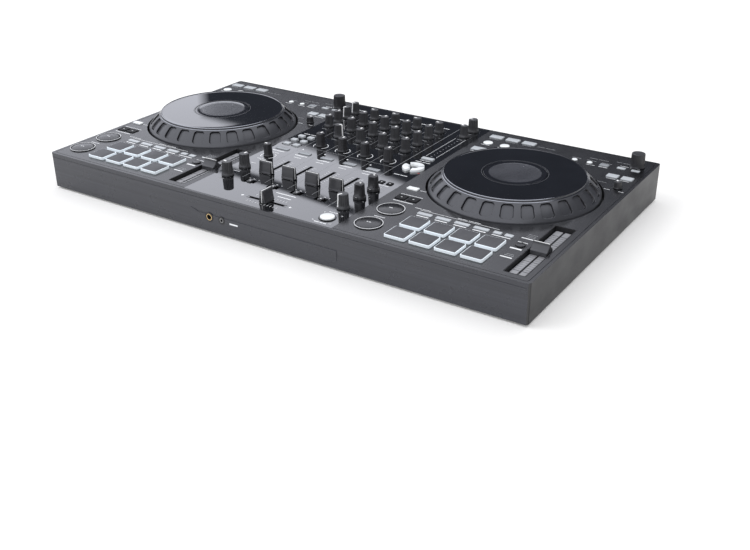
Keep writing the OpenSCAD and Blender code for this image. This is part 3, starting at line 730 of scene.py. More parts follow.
@dataclass(frozen=True)
class BrushedFront(Finish):
    """Plastic with faint level streaks across it, as on a long moulded front."""

    streak: float = 1.1
    stretch: float = 400.0

    def dress(self, graph: Graph) -> None:
        """Adds streaks: noise drawn out along X, in the colour and as shallow lines.

        Args:
            graph: the node tree of the finish's material.
        """
        super().dress(graph)
        streaks = graph.noise(self.streak, 3.0, (self.stretch, 1, 1))
        graph.wire("Base Color", graph.blend(graph.spread(streaks, 0, 1), tuple(0.8 * c for c in self.color),
                                             tuple(1.25 * c for c in self.color)))
        graph.bump(streaks, 0.02)


@dataclass(frozen=True)
class WovenMat(Finish):
    """Rubber with a fine raised check, its ribs rib millimetres high."""

    rib: float = 0.05
    weave_scale: float = 320.0

    def dress(self, graph: Graph) -> None:
        """Adds crossed ribs: the product of two waves.

        Args:
            graph: the node tree of the finish's material.
        """
        super().dress(graph)
        ribs = {"Vector": graph.object, "Scale": self.weave_scale}
        waves = [graph.add("TexWave", ribs, bands_direction=d).outputs["Fac"] for d in ("X", "Y")]
        graph.bump(graph.math("MULTIPLY", *waves), self.rib)


CASE = Finish("case_charcoal", (0.0070, 0.0074, 0.0092), 0.23, grain=0.35, grain_depth=0.003, mottle=0.10,
              smudge=0.02,
              specular=0.75)
# The same housing plastic as the top, about five times lighter: a painted reflection on the set-back front,
# with the front's own level streaks.
FRONT = BrushedFront("case_front_brushed_painted_reflection", (0.034, 0.036, 0.046), 0.30, grain=0.35, grain_depth=0.003,
                     mottle=0.05, specular=0.6)
CASE_SIDE = Finish("case_side_satin", (0.0105, 0.0110, 0.0130), 0.34, grain=1.2, grain_depth=0.002,
                   specular=0.28)
# Near-black and matte: painted shade in the case's fine grooves, along the tempo slots, round the tempo trays
# and beside the faders' slots; it is also the ink of the tempo scales' ticks.
GROOVE = Finish("groove_painted_shade_and_tick_ink", (0.006, 0.006, 0.007), 0.7, grain=0.8)
FACEPLATE = Finish("faceplate_black_gloss", (0.0060, 0.0064, 0.0080), 0.03, grain=6.0, grain_depth=0.0005,
                   mottle=0.25, smudge=0.005, coat=1.0, specular=0.6, coat_rough=0.015)
WELL = Finish("well_black", (0.012, 0.012, 0.013), 0.55)
# White print. Its small glow is painted light that brightens the labels; on the transport buttons' rings it
# stands for their own lamps.
INK = Finish("ink_white_painted_glow", (0.84, 0.86, 0.90), 0.55, grain=0.3, mottle=0.04, glow=0.06)
INK_DIM = Finish("ink_grey", (0.30, 0.31, 0.33), 0.55, grain=0.3, mottle=0.08)
INK_RED = Finish("ink_red", (0.30, 0.03, 0.03), 0.5, grain=0.3)
KNOB = Finish("knob_soft_grey", (0.054, 0.055, 0.060), 0.36, grain=0.3, grain_depth=0.01)
KNOB_GLOSS = Finish("knob_black", (0.028, 0.028, 0.031), 0.30, grain=0.4, grain_depth=0.01)
# White pointers, cap lines and dots; their small glow is painted light. On the tempo caps the white bar is a
# painted highlight.
POINTER = Finish("pointer_white_painted_glow", (0.88, 0.89, 0.91), 0.4, grain=0.3, mottle=0.04, glow=0.10)
CAP = Finish("cap_satin", (0.046, 0.047, 0.052), 0.22, grain=0.25, grain_depth=0.005, smudge=0.02, coat=0.2)
CAP_GLOSS = Finish("cap_gloss", (0.014, 0.014, 0.016), 0.12, grain=2.0, grain_depth=0.004, coat=0.5)
STEM = Finish("stem_steel", (0.45, 0.45, 0.46), 0.35, metallic=1.0, grain=0.6)
SKIRT = Finish("jog_skirt", (0.050, 0.052, 0.060), 0.30, grain=0.5, grain_depth=0.005, mottle=0.05,
               smudge=0.02, specular=0.7)
PLATTER = Finish("jog_platter", (0.0080, 0.0088, 0.0118), 0.03, grain=5.0, grain_depth=0.0005, mottle=0.2,
                 smudge=0.005, coat=0.8, coat_rough=0.015)
PLATTER_LINE = Finish("platter_fine_line", (0.075, 0.077, 0.085), 0.4, grain=0.4, mottle=0.05)
# Painted shade on the jog wheels' pocket walls, far darker than the skirt they are sunk in.
POCKET_WALL_SHADE = Finish("jog_pocket_wall_painted_shade", (0.010, 0.010, 0.012), 0.20, grain=0.5, grain_depth=0.004,
                     specular=0.5)
GLASS = Finish("display_glass", (0.008, 0.0085, 0.012), 0.05, grain=8.0, grain_depth=0.0008, mottle=0.3,
               smudge=0.01,
               coat=0.8, coat_rough=0.02)
DISPLAY_FACE = Finish("display_face", (0.048, 0.050, 0.060), 0.16, grain=6.0, grain_depth=0.001, mottle=0.25,
                      smudge=0.03,
                      coat=0.5, coat_rough=0.03)
KEY_PALE = Finish("key_pale", (0.50, 0.53, 0.57), 0.35, grain=0.4, mottle=0.06, coat=0.2)
KEY_WHITE = Finish("key_bright_white", (0.80, 0.83, 0.86), 0.30, grain=0.4, mottle=0.04, coat=0.2, glow=0.12)
KEY_DIM = Finish("key_dim", (0.30, 0.32, 0.35), 0.30, grain=0.4, mottle=0.08, coat=0.3)
KEY_BLACK = Finish("key_black", (0.014, 0.014, 0.016), 0.22, grain=0.6, grain_depth=0.006, coat=0.15,
                   specular=0.4)
KEY_MATTE = Finish("key_black_matte", (0.006, 0.006, 0.007), 0.45, grain=0.4, grain_depth=0.006,
                   specular=0.15)
PAD_TOP = WovenMat("pad_checked_rubber", (0.062, 0.063, 0.070), 0.50, grain=0.4, grain_depth=0.006,
                   specular=0.5, rib=0.015)
PAD_SIDE = Finish("pad_lit_side", (0.80, 0.87, 0.94), 0.32, grain=0.6, mottle=0.04, glow=0.18)
TICK_PLATE = Finish("tick_plate", (0.30, 0.305, 0.33), 0.40, grain=0.5, mottle=0.10)
RUBBER = WovenMat("feet_ribbed_rubber", (0.022, 0.022, 0.023), 0.8, grain=0.6, rib=0.08)
TRAY = Finish("tray_powder_coat", (0.028, 0.028, 0.030), 0.55, grain=0.9, grain_depth=0.05)
SCREW = Finish("screw_black", (0.06, 0.06, 0.065), 0.35, metallic=1.0, grain=0.5)
BRASS = Finish("brass_turned", (0.72, 0.52, 0.26), 0.24, metallic=1.0, grain=0.5, grain_depth=0.006)
NICKEL = Finish("socket_nickel", (0.58, 0.58, 0.60), 0.26, metallic=1.0, grain=0.5, grain_depth=0.006)
SOCKET_BODY = Finish("socket_black", (0.020, 0.020, 0.022), 0.42)
PHONO_RED = Finish("phono_red", (0.42, 0.02, 0.02), 0.35)
PHONO_WHITE = Finish("phono_white", (0.70, 0.70, 0.68), 0.35)
BOARD = BoardGreen("board_solder_mask", (0.018, 0.085, 0.042), 0.38, coat=0.3)
POT = Finish("pot_body", (0.05, 0.05, 0.055), 0.4, metallic=0.6)


# ---------------------------------------------------------------- making pieces


def make(name: str, shape: Shape, finishes: "list[Finish]", body: str = CHASSIS, stands_for: tuple = (),
         sharp: float = 38.0) -> None:
    """Turns a shape into a piece of the object that rides on a body.

    Args:
        name: the piece's name.
        shape: its surface in millimetres.
        finishes: the finishes that its faces index.
        body: the CAD body that it moves with.
        stands_for: the CAD nodes that it replaces.
        sharp: edges that bend by more degrees than this stay sharp.
    """
    mesh = bpy.data.meshes.new(name)
    counts = np.concatenate([np.full(len(shape.quads), 4), np.full(len(shape.tris), 3)])
    corners = np.concatenate([shape.quads.ravel(), shape.tris.ravel()]).astype(np.int32)
    mesh.vertices.add(len(shape.points))
    mesh.vertices.foreach_set("co", (shape.points * MM).astype(np.float32).ravel())
    mesh.loops.add(len(corners))
    mesh.loops.foreach_set("vertex_index", corners)
    mesh.polygons.add(len(counts))
    mesh.polygons.foreach_set("loop_start", (np.cumsum(counts) - counts).astype(np.int32))
    finish = np.concatenate([shape.quad_finish, shape.tri_finish]).astype(np.int32)
    mesh.polygons.foreach_set("material_index", finish)
    mesh.update(calc_edges=True)
    mesh.validate()
    mesh.shade_smooth()
    mesh.set_sharp_from_angle(angle=math.radians(sharp))
    for f in finishes:
        mesh.materials.append(f.material())
    piece = bpy.data.objects.new(name, mesh)
    bpy.context.scene.collection.objects.link(piece)
    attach(piece, body)
    if stands_for:
        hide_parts(*stands_for)
    LOG.info("%s: %d points on %s", name, len(shape.points), body)


def dress(node: str, finish: Finish, edge: float = 0.0) -> None:
    """Gives a CAD node its finish.

    Args:
        node: the CAD node.
        finish: its finish.
        edge: the round on its edges in millimetres, or 0 for none.
    """
    materials = frame["nodes"][node].data.materials
    materials.clear()
    materials.append(finish.material())
    if edge:
        soften(node, edge)
    LOG.info("%s: dressed as %s", node, finish.name)


def soften(node: str, edge: float) -> None:
    """Rounds a CAD node's sharp edges with live modifiers.

    Args:
        node: the CAD node.
        edge: width of the round in millimetres.
    """
    piece = frame["nodes"][node]
    weld = piece.modifiers.new("weld", "WELD")
    weld.merge_threshold = 0.002 * MM
    bevel = piece.modifiers.new("edge", "BEVEL")
    bevel.width, bevel.segments = edge * MM, 2
    bevel.limit_method, bevel.angle_limit = "ANGLE", math.radians(50)
    bevel.use_clamp_overlap = True
    bevel.harden_normals = False


def repaint(node: str, finishes: "list[Finish]", choose: Callable) -> None:
    """Gives a CAD node several finishes by the place of each face.

    Args:
        node: the CAD node.
        finishes: its finishes.
        choose: takes (n, 3) face middles in millimetres and returns (n,) finish indices.
    """
    mesh = frame["nodes"][node].data
    mesh.materials.clear()
    for f in finishes:
        mesh.materials.append(f.material())
    middles = np.empty(len(mesh.polygons) * 3)
    mesh.polygons.foreach_get("center", middles)
    index = np.asarray(choose(middles.reshape(-1, 3) / MM), np.int32)
    mesh.polygons.foreach_set("material_index", index)
    mesh.update()


# ---------------------------------------------------------------- knobs


class KnobKind(Enum):
    """The knob shapes: flutes round the body and their depth, the height of the smooth skirt, and how far
    the shoulder and the crown stand in from it."""

    RIBBED = (18, 0.75, 2.6, 0.75, 1.45)
    SMOOTH = (12, 0.22, 1.6, 0.75, 1.45)
    SELECTOR = (0, 0.0, 3.2, 1.3, 2.0)
    ENCODER = (30, 0.38, 1.0, 0.75, 1.2)
    SPEED = (16, 0.24, 1.0, 0.75, 1.45)

    def __init__(self, flutes: int, depth: float, skirt: float, shoulder: float, crown: float) -> None:
        """Names the kind's numbers; all but the flutes are millimetres."""
        self.flutes, self.depth, self.skirt, self.shoulder, self.crown = flutes, depth, skirt, shoulder, crown


@dataclass
class Knob:
    """A knob on its own shaft: skirt, body and a white pointer over the top and down the side."""

    node: str
    kind: KnobKind = KnobKind.RIBBED
    finish: Finish = KNOB
    shaft: float = 3.0
    line: float = 1.1
    float_gap: float = 0.3
    waist: float = 2.5
    waist_angle: float = 0.85
    segments_per_flute: int = 6

    def cut(self, turn: Array, height: Array, lift: Array, skirt: float, top: float) -> Array:
        """Works out how deep the body is cut.

        Each flute takes depth * (1 + cos(flutes * angle)) / 2, and a selector's two waists take
        waist * (1 - t * t) where t, the angle from straight front or back over waist_angle, is under 1,
        times a swell that is a quarter at the skirt and whole a little under the middle of the body.

        Args:
            turn: (1, columns) angles.
            height: (rows, 1) heights.
            lift: (rows,) share of the full cut at each row.
            skirt: height of the skirt's top.
            top: height of the knob.

        Returns:
            The millimetres that come off the radius at each angle and height.
        """
        if self.kind is KnobKind.SELECTOR:
            t = np.clip(np.abs(turn % np.pi - np.pi / 2) / self.waist_angle, 0, 1)
            mid = np.clip((height - skirt) / (top - skirt), 0, 1)
            swell = np.sin(np.pi * np.clip(mid * 1.15, 0, 1)) ** 0.7
            return lift[:, None] * self.waist * (1 - t ** 2) * (0.25 + 0.75 * swell)
        return lift[:, None] * self.kind.depth * (1 + np.cos(self.kind.flutes * turn)) / 2

    def body(self, radius: float, low: float, top: float) -> tuple[Shape, Array]:
        """Makes the turned body.

        The radius falls in a straight line from the shoulder to the crown, and the flutes fade in and out
        within two rows of that line's ends.

        Args:
            radius: the skirt's radius.
            low: height of the stem's lower end.
            top: height of the knob.

        Returns:
            The body, and its outline above the skirt from the top's middle outwards.
        """
        foot, skirt = PANEL + self.float_gap, PANEL + self.float_gap + self.kind.skirt
        shoulder, crown = radius - self.kind.shoulder, radius - self.kind.crown
        climb = np.linspace(0, 1, 12)
        body = np.column_stack([shoulder + (crown - shoulder) * climb,
                                skirt + 0.5 + (top - 0.9 - skirt - 0.5) * climb])
        start = [[self.shaft, low], [self.shaft, foot], [radius - 0.35, foot], [radius, foot + 0.3],
                 [radius, skirt - 0.4], [radius - 0.18, skirt], [shoulder + 0.25, skirt + 0.12]]
        end = [[crown - 0.12, top - 0.45], [crown - 0.45, top - 0.12], [crown - 0.95, top],
               [crown - 1.5, top - 0.06], [1.0, top - 0.12]]
        profile = np.vstack([start, body, end])
        first, last = len(start), len(start) + len(body)
        rows = np.arange(len(profile))
        lift = np.clip((rows - first) / 1.5, 0, 1) * np.clip((last + 1 - rows) / 2.0, 0, 1)
        segments = max(48, self.kind.flutes * self.segments_per_flute)
        shape = revolved(profile, segments, cut=lambda turn, height: self.cut(turn, height, lift, skirt, top))
        return shape, profile[::-1][1:-2]

    def pointer(self, over: Array, radius: float, top: float) -> list[Shape]:
        """Makes the white line along the outline, or a selector's short line and the mark on its skirt.

        Args:
            over: (n, 2) radii and heights of the body's outline.
            radius: the skirt's radius.
            top: height of the knob.

        Returns:
            The line and the mark, or nothing for an encoder.
        """
        skirt = PANEL + self.float_gap + self.kind.skirt
        if self.kind is KnobKind.ENCODER:
            return []
        if self.kind is KnobKind.SELECTOR:
            path = np.array([[1.2, top - 0.06], [2.4, top - 0.04], [3.6, top - 0.02]])
            return [strip(path, self.line, 0.1), bars(0, -radius + 0.9, 2.2, 1.0, skirt + 0.1)]
        hidden = PANEL + self.float_gap + 2.5 if self.kind is KnobKind.SPEED else skirt
        return [strip(np.vstack([[[0.9, top - 0.1]], over[over[:, 1] > hidden]]), self.line, 0.1)]

    def build(self) -> None:
        """Makes the knob in the place of its CAD solid."""
        low, high = box(self.node)
        radius, top = (high[0] - low[0]) / 2, high[2]
        body, over = self.body(radius, low[2], top)
        parts = [body] + [p.painted(1) for p in self.pointer(over, radius, top)]
        shape = Shape.join(parts).turned(pointer_of(self.node)).moved(*axis_of(self.node))
        make(self.node + "_body", shape, [self.finish, POINTER], self.node, (self.node,),
             sharp=32)


def build_knobs() -> None:
    """Makes every knob: the tone knobs of the four channels, the side columns' and the decks'."""
    for color, c in zip(COLOR_KNOBS, CHANNELS):
        Knob(color, KnobKind.SMOOTH, KNOB_GLOSS).build()
        for row in TONE_ROWS:
            Knob(f"{row}_knob_{c}").build()
    for node in LEVEL_KNOBS:
        Knob(node).build()
    Knob(EFFECT_KNOB, KnobKind.SMOOTH, KNOB_GLOSS).build()
    for node in SELECTORS:
        Knob(node, KnobKind.SELECTOR, KNOB_GLOSS).build()
    for side in SIDES:
        Knob(f"browse_knob_{side}", KnobKind.ENCODER, KNOB_GLOSS).build()
        Knob(f"speed_knob_{side}", KnobKind.SPEED, KNOB_GLOSS).build()


# ---------------------------------------------------------------- faders


def cap(half_outline: Array, half: float, edge: float, centre: float, reach: Array) -> Shape:
    """Carries a fader cap's outline along X and draws its ends in as a quarter round.

    At each end the outline shrinks by edge * (1 - sin a) while x moves by edge * (1 - cos a).

    Args:
        half_outline: (n, 2) points of Y and Z, from the foot to the ridge, mirrored for the other face.
        half: half the cap's length along X.
        edge: radius of the quarter round.
        centre: the height that the ends shrink towards.
        reach: half sizes on Y and Z that the shrinking is measured by.

    Returns:
        The cap, its middle at the origin.
    """
    outline = np.vstack([half_outline, half_outline[::-1] * [-1, 1]])
    bend = np.radians([0, 30, 60, 90])
    xs = np.concatenate([-half + edge * (1 - np.cos(bend)), half - edge * (1 - np.cos(bend[::-1]))])
    draw = edge * (1 - np.sin(np.concatenate([bend, bend[::-1]])))
    middle = np.array([0, centre])
    sections = (outline - middle) * (1 - draw[:, None, None] / reach) + middle
    across = np.broadcast_to(xs[:, None, None], sections[..., :1].shape)
    return skin(np.concatenate([across, sections], -1))


@dataclass
class MixerFader:
    """A tall cap with hollowed faces and a bright line along its ridge, on a steel stem."""

    node: str
    across: bool = False
    foot_half: float = 4.9
    ridge_half: float = 2.6
    line: float = 1.0

    def build(self) -> None:
        """Makes the cap: each face falls from the ridge to the foot as (1 - t) ** 1.4."""
        low, high = box(self.node)
        half = ((high - low)[1] if self.across else (high - low)[0]) / 2
        foot, top = PANEL + 0.3, high[2]
        ridge, wide = self.ridge_half, self.foot_half
        t = np.linspace(0, 1, 9)
        face = np.column_stack([ridge + (wide - ridge - 0.3) * (1 - t) ** 1.4,
                                foot + 2.2 + (top - 3.3 - foot) * t])
        outline = np.vstack([[[wide - 0.3, foot], [wide, foot + 0.3], [wide, foot + 1.7]], face,
                             [[ridge - 0.3, top - 0.4], [ridge - 0.9, top]]])
        made = cap(outline, half, 0.7, (foot + top) / 2, np.array([wide, (top - foot) / 2]))
        line = block(rounded_outline(2 * half + 0.16, self.line, 0.2), foot + 1.0, top + 0.08, edge=0.15)
        shape = Shape.join([made, line.painted(1), fader_stem(low[2], foot + 1)])
        if self.across:
            shape = shape.turned(90)
        make(self.node + "_cap", shape.moved(*middle_of(self.node)), [CAP, POINTER, STEM], self.node,
             (self.node,))


def fader_stem(low: float, high: float) -> Shape:
    """Makes the flat steel stem that a fader's cap stands on, painted with the third finish."""
    return block(rounded_outline(1.6, 4.0, 0.2), low, high, edge=0.1).painted(2)


@dataclass
class TempoFader:
    """A low cap in the tempo slider's tray: a ridge with a bright line of painted highlight, hollow slopes
    and rounded lips.
    """

    side: str
    ridge_half: float = 1.5
    lip: float = 1.4

    def build(self) -> None:
        """Makes the cap: each slope falls from the ridge to the lip as (1 - t) ** 1.9."""
        node = f"tempo_slider_{self.side}"
        low, high = box(node)
        (half, wide), top, ridge = (high - low)[:2] / 2, high[2], self.ridge_half
        foot, lip = TRAY_FLOOR + 0.6, PANEL + self.lip
        t = np.linspace(0, 1, 12)
        slope = np.column_stack([ridge + (wide - 1.6 - ridge) * (1 - t) ** 1.9,
                                 lip + 0.15 + (top - 0.75 - lip) * t])
        outline = np.vstack([
            [[wide - 0.3, foot], [wide, foot + 0.3], [wide, lip - 1.2], [wide - 0.2, lip - 0.4],
             [wide - 0.7, lip], [wide - 1.2, lip + 0.1]], slope,
            [[ridge - 0.15, top - 0.2], [ridge - 0.5, top]]])
        made = cap(outline, half, 0.8, (foot + top) / 2 - 1, np.array([wide, (top - foot) / 2]))
        # A white bar along the ridge: a painted highlight for the shine along it.
        mark = bars(0, 0, 2 * half - 1.2, 1.1, top + 0.05, 0.3).painted(1)
        shape = Shape.join([made, mark, fader_stem(low[2], foot + 1)])
        make(node + "_cap", shape.moved(*middle_of(node)), [CAP, POINTER, STEM], node, (node,))


@dataclass
class AssignSwitches:
    """Four small slide switches, each with a white dot on a ribbed toggle."""

    dot: float = 0.8

    def build(self) -> None:
        """Makes the toggles from the CAD node's solids, which are the ones that reach over the panel."""
        parts = []
        for s in solids("assign_switches"):
            if s.high[2] < PANEL:
                continue
            toggle = block(rounded_outline(*s.top_size, 0.6), s.low[2], s.high[2], edge=0.5, crown=-0.3)
            dot = disc(self.dot, s.high[2] + 0.02, 0.6, 20).painted(1)
            parts.append(Shape.join([toggle, dot]).moved(*s.middle))
        make("assign_toggles", Shape.join(parts), [CAP_GLOSS, POINTER], "assign_switches",
             ("assign_switches",))


# ---------------------------------------------------------------- jog wheels


def within(points: Array, near: float, far: float) -> Array:
    """Tells which points lie between two radii about Z."""
    reach = np.hypot(points[:, 0], points[:, 1])
    return (reach > near) & (reach < far)


@dataclass
class JogWheel:
    """A jog wheel: sloped rim with finger pockets, two bright lines, glossy platter round the display."""

    side: str
    pockets: int = 26
    pocket_w: float = 15.8
    pocket_share: tuple[float, float] = (0.15, 0.95)
    pocket_r: float = 4.4
    pocket_depth: float = 2.7
    pocket_at: float = 98.0
    wall: float = 1.0
    platter_r: float = 87.3
    lip_r: float = 89.9
    inner_r: float = 39.7
    bore_r: float = 12.06
    hub_r: float = 16.0
    bulge: float = 0.9

    def profile(self, low: float, radius: float, top: float) -> tuple[Array, Array, Array]:
        """Works out the wheel's section.

        The slope is a straight line plus bulge * sin(pi * share) along its normal.

        Args:
            low: height of the hub's underside.
            radius: the wheel's radius.
            top: height of the platter's rim.

        Returns:
            The closed outline, each row's share of the way up the slope (not a number off it), and the
            slope's outward normal, as long as the slope is.
        """
        shoulder, brow = PANEL + 1.2, top - 3.3
        slope_in, foot = self.lip_r + 0.3, radius - 0.4
        near, far = self.pocket_share
        s = uneven([0, near - 0.01, near + 0.12, far - 0.12, far + 0.01, 1], [4, 9, 8, 9, 3])
        normal = np.array([brow - shoulder, foot - slope_in])
        slope = np.column_stack([foot + (slope_in - foot) * s, shoulder + (brow - shoulder) * s])
        slope = slope + self.bulge * np.sin(np.pi * s)[:, None] * normal / np.linalg.norm(normal)
        inner, lip, flat = self.inner_r, self.lip_r, self.platter_r
        skirt = [[radius - 3, low + 9], [radius - 2.6, PANEL - 6], [foot, PANEL - 6], [radius, PANEL - 5.5],
                 [radius, PANEL - 2], [radius, PANEL + 0.4]]
        outline = np.vstack([
            skirt, slope,
            [[lip, brow + 0.35], [lip - 0.5, brow + 0.8], [flat + 1.2, brow + 0.8], [flat + 1.2, top - 0.9],
             [flat + 0.9, top - 0.45], [flat + 0.4, top], [flat - 0.2, top], [flat - 0.35, top - 0.45],
             [flat - 0.8, top - 0.5]],
            np.column_stack([np.linspace(82, inner + 2.3, 8), np.full(8, top - 0.52)]),
            [[inner + 1.75, top - 0.52], [inner + 1.3, top - 0.52], [inner + 0.15, top - 0.53],
             [inner, top - 0.7], [inner, top - 3.5], [inner + 3, top - 4.5], [flat - 3, top - 4.5],
             [radius - 3, PANEL + 0.3]]])
        share = np.full(len(outline), np.nan)
        share[len(skirt):len(skirt) + len(s)] = s
        return outline, share, normal

    def rim(self, outline: Array, share: Array, normal: Array) -> tuple[Shape, Array, int]:
        """Turns the outline about Z and sinks the pockets in its slope.

        A point's distance from the nearest pocket's rounded rectangle is measured along the slope and
        round it, and the surface sinks along the slope's normal by pocket_depth times a smooth step of
        that distance over the wall's width.

        Args:
            outline: (rows, 2) radii and heights of the section.
            share: (rows,) share of the way up the slope.
            normal: the slope's outward normal, as long as the slope is.

        Returns:
            The surface, a mask of the points on the pockets' walls, and the number of columns.
        """
        length = np.linalg.norm(normal)
        pitch = 2 * np.pi * self.pocket_at / self.pockets
        edge, corner = (self.pocket_w / 2 + 0.2) / pitch, (self.pocket_w / 2 - self.wall - 1.2) / pitch
        local = uneven([-0.5, -edge, -corner, corner, edge, 0.5], [3, 9, 7, 9, 3])[:-1]
        turn = (np.arange(self.pockets)[:, None] + local).ravel() * 2 * np.pi / self.pockets
        near, far = self.pocket_share
        on_slope = ~np.isnan(share)[:, None]
        along = (np.nan_to_num(share) - (near + far) / 2)[:, None] * length
        local = (turn * self.pockets / (2 * np.pi) + 0.5) % 1 - 0.5
        around = 2 * np.pi / self.pockets * local[None] * outline[:, :1]
        wide = self.pocket_w / 2 * (outline[:, :1] / self.pocket_at)
        q = np.stack([np.abs(around) - (wide - self.pocket_r),
                      np.abs(along) - ((far - near) * length / 2 - self.pocket_r) + 0 * around])
        distance = np.linalg.norm(np.maximum(q, 0), axis=0) + np.minimum(q.max(0), 0) - self.pocket_r
        step = np.clip(-distance / self.wall, 0, 1)
        step = step * step * (3 - 2 * step)
        sink = np.where(on_slope, self.pocket_depth * step, 0)
        r, z = (outline[:, k:k + 1] - normal[k] / length * sink for k in (0, 1))
        rings = np.stack([r * np.cos(turn), r * np.sin(turn), z + 0 * turn], -1)
        return skin(rings, loop=True), on_slope & (step > 0.02) & (step < 0.98), len(turn)

    def build(self) -> None:
        """Makes the wheel, paints its lines and platter, paints shade on its pocket walls, and adds the web
        and hub inside.
        """
        node = f"jog_wheel_{self.side}"
        low, high = box(node)
        radius, top = (high[0] - low[0]) / 2, high[2]
        outline, share, normal = self.profile(low[2], radius, top)
        shape, walls, columns = self.rim(outline, share, normal)
        row, column = np.divmod(np.arange(len(shape.quads)), columns)
        corners = [walls[(row + i) % len(walls), (column + j) % columns] for i in (0, 1) for j in (0, 1)]
        # Faces on the pockets' walls take the sixth finish: painted shade.
        shape.quad_finish[np.sum(corners, 0) >= 3] = 5
        lip, flat, inner = self.lip_r, self.platter_r, self.inner_r
        bands = [(lip - 0.75, lip + 0.05, top - 3.1, 1), (flat + 0.3, flat + 1.0, top - 0.5, 1),
                 (0, flat + 0.3, top - 2, 2), (inner + 1.3, inner + 1.9, top - 2, 4)]
        for near, far, over, finish in bands:
            shape = shape.painted_where(lambda m: within(m, near, far) & (m[:, 2] > over), finish)
        web = ring(self.bore_r, inner + 2, PANEL + 6, PANEL + 9).painted(3)
        hub = ring(self.bore_r, self.hub_r, low[2], PANEL + 7).painted(3)
        x, y = JOG_AT[self.side]
        spun = SpunMetal("jog_ring_" + self.side, (0.40, 0.41, 0.43), 0.16, metallic=1.0, grain_depth=0.004,
                         smudge=0.04, middle=(x, y), pitch=0.5)
        make(node + "_body", Shape.join([shape, web, hub]).moved(x, y),
             [SKIRT, spun, PLATTER, WELL, PLATTER_LINE, POCKET_WALL_SHADE], node, (node,), sharp=40)


@dataclass
class JogDisplay:
    """The fixed round display in the middle of a jog wheel: glass over a dark face."""

    side: str
    face_r: float = 32.5

    def build(self) -> None:
        """Lays a shallow glass lens with a small mark over the fixed spindle."""
        top, face = box("jog_spindles")[1][2], self.face_r
        lens = revolved([(38.7, top - 0.6), (38.8, top + 0.06), (38.65, top + 0.14), (face + 0.5, top + 0.14),
                         (face, top + 0.11), (face - 4, top + 0.06), (10, top + 0.03)], 128)
        lens = lens.painted_where(lambda m: within(m, -1, face + 0.1) & (m[:, 2] > top - 0.3), 1)
        notch = bars(0, 24, 0.5, 2.4, top + 0.08).painted(2)
        make(f"jog_display_{self.side}", Shape.join([lens, notch]).moved(*JOG_AT[self.side]),
             [GLASS, DISPLAY_FACE, STEM], sharp=15)


# ---------------------------------------------------------------- keys and pads


class KeyTone(IntEnum):
    """The tones that keys and their marks take: places in KEY_FINISHES."""

    PALE = 0
    WHITE = 1
    BLACK = 2
    DIM = 3
    MATTE = 4
    MARK = 5


@dataclass(frozen=True)
class Look:
    """How a key is drawn: its tone, its dome, its edge, and how far it stays inside and below its solid."""

    tone: KeyTone
    crown: float
    edge: float
    less: float = 0.0
    drop: float = 0.0


KEY_FINISHES = [KEY_PALE, KEY_WHITE, KEY_BLACK, KEY_DIM, KEY_MATTE, INK]
# Where on Y the keys of one tone stand, in mm; the first three are counted from the jog wheel's axis.
MATTE_ROWS = (-110, -90)
WHITE_ROWS = (-75, -60)
DIM_ROWS = (130, 134)
CUE_ROW = (-25, -15)
MATTE_BEFORE = -40


def deck_key_look(s: Solid) -> Look:
    """Chooses how a deck key is drawn, from its distance behind the jog wheel's axis.

    Args:
        s: the key's solid.

    Returns:
        Its look.
    """
    dy = s.middle[1] - JOG_AT["left"][1]
    if s.is_round:
        return Look(KeyTone.WHITE, 0.4, 0.7, 0.3, 0.6) if dy > 0 else Look(KeyTone.BLACK, 0.2, 0.5)
    if MATTE_ROWS[0] < dy < MATTE_ROWS[1]:
        return Look(KeyTone.MATTE, -0.2, 0.35)
    if WHITE_ROWS[0] < dy < WHITE_ROWS[1]:
        return Look(KeyTone.WHITE, 0.15, 0.4)
    if DIM_ROWS[0] < dy < DIM_ROWS[1]:
        return Look(KeyTone.DIM, 0.1, 0.4, drop=0.5)
    return Look(KeyTone.PALE, 0.18, 0.45, drop=0.2)


def mixer_key_look(s: Solid) -> Look:
    """Chooses how a mixer key is drawn, from its place and its proportions.

    Args:
        s: the key's solid.

    Returns:
        Its look.
    """
    (x, y), (w, d) = s.middle, s.top_size
    if s.is_round:
        return Look(KeyTone.WHITE, 0.5, 0.8, 1.7)
    if w > 2 * d and CUE_ROW[0] < y < CUE_ROW[1]:
        return Look(KeyTone.DIM, 0.05, 0.3)
    if y < MATTE_BEFORE:
        return Look(KeyTone.MATTE, -0.1, 0.35)
    if x < 0:
        return Look(KeyTone.PALE, 0.1, 0.4, 1.5, 1.3)
    return Look(KeyTone.PALE, 0.15, 0.4)


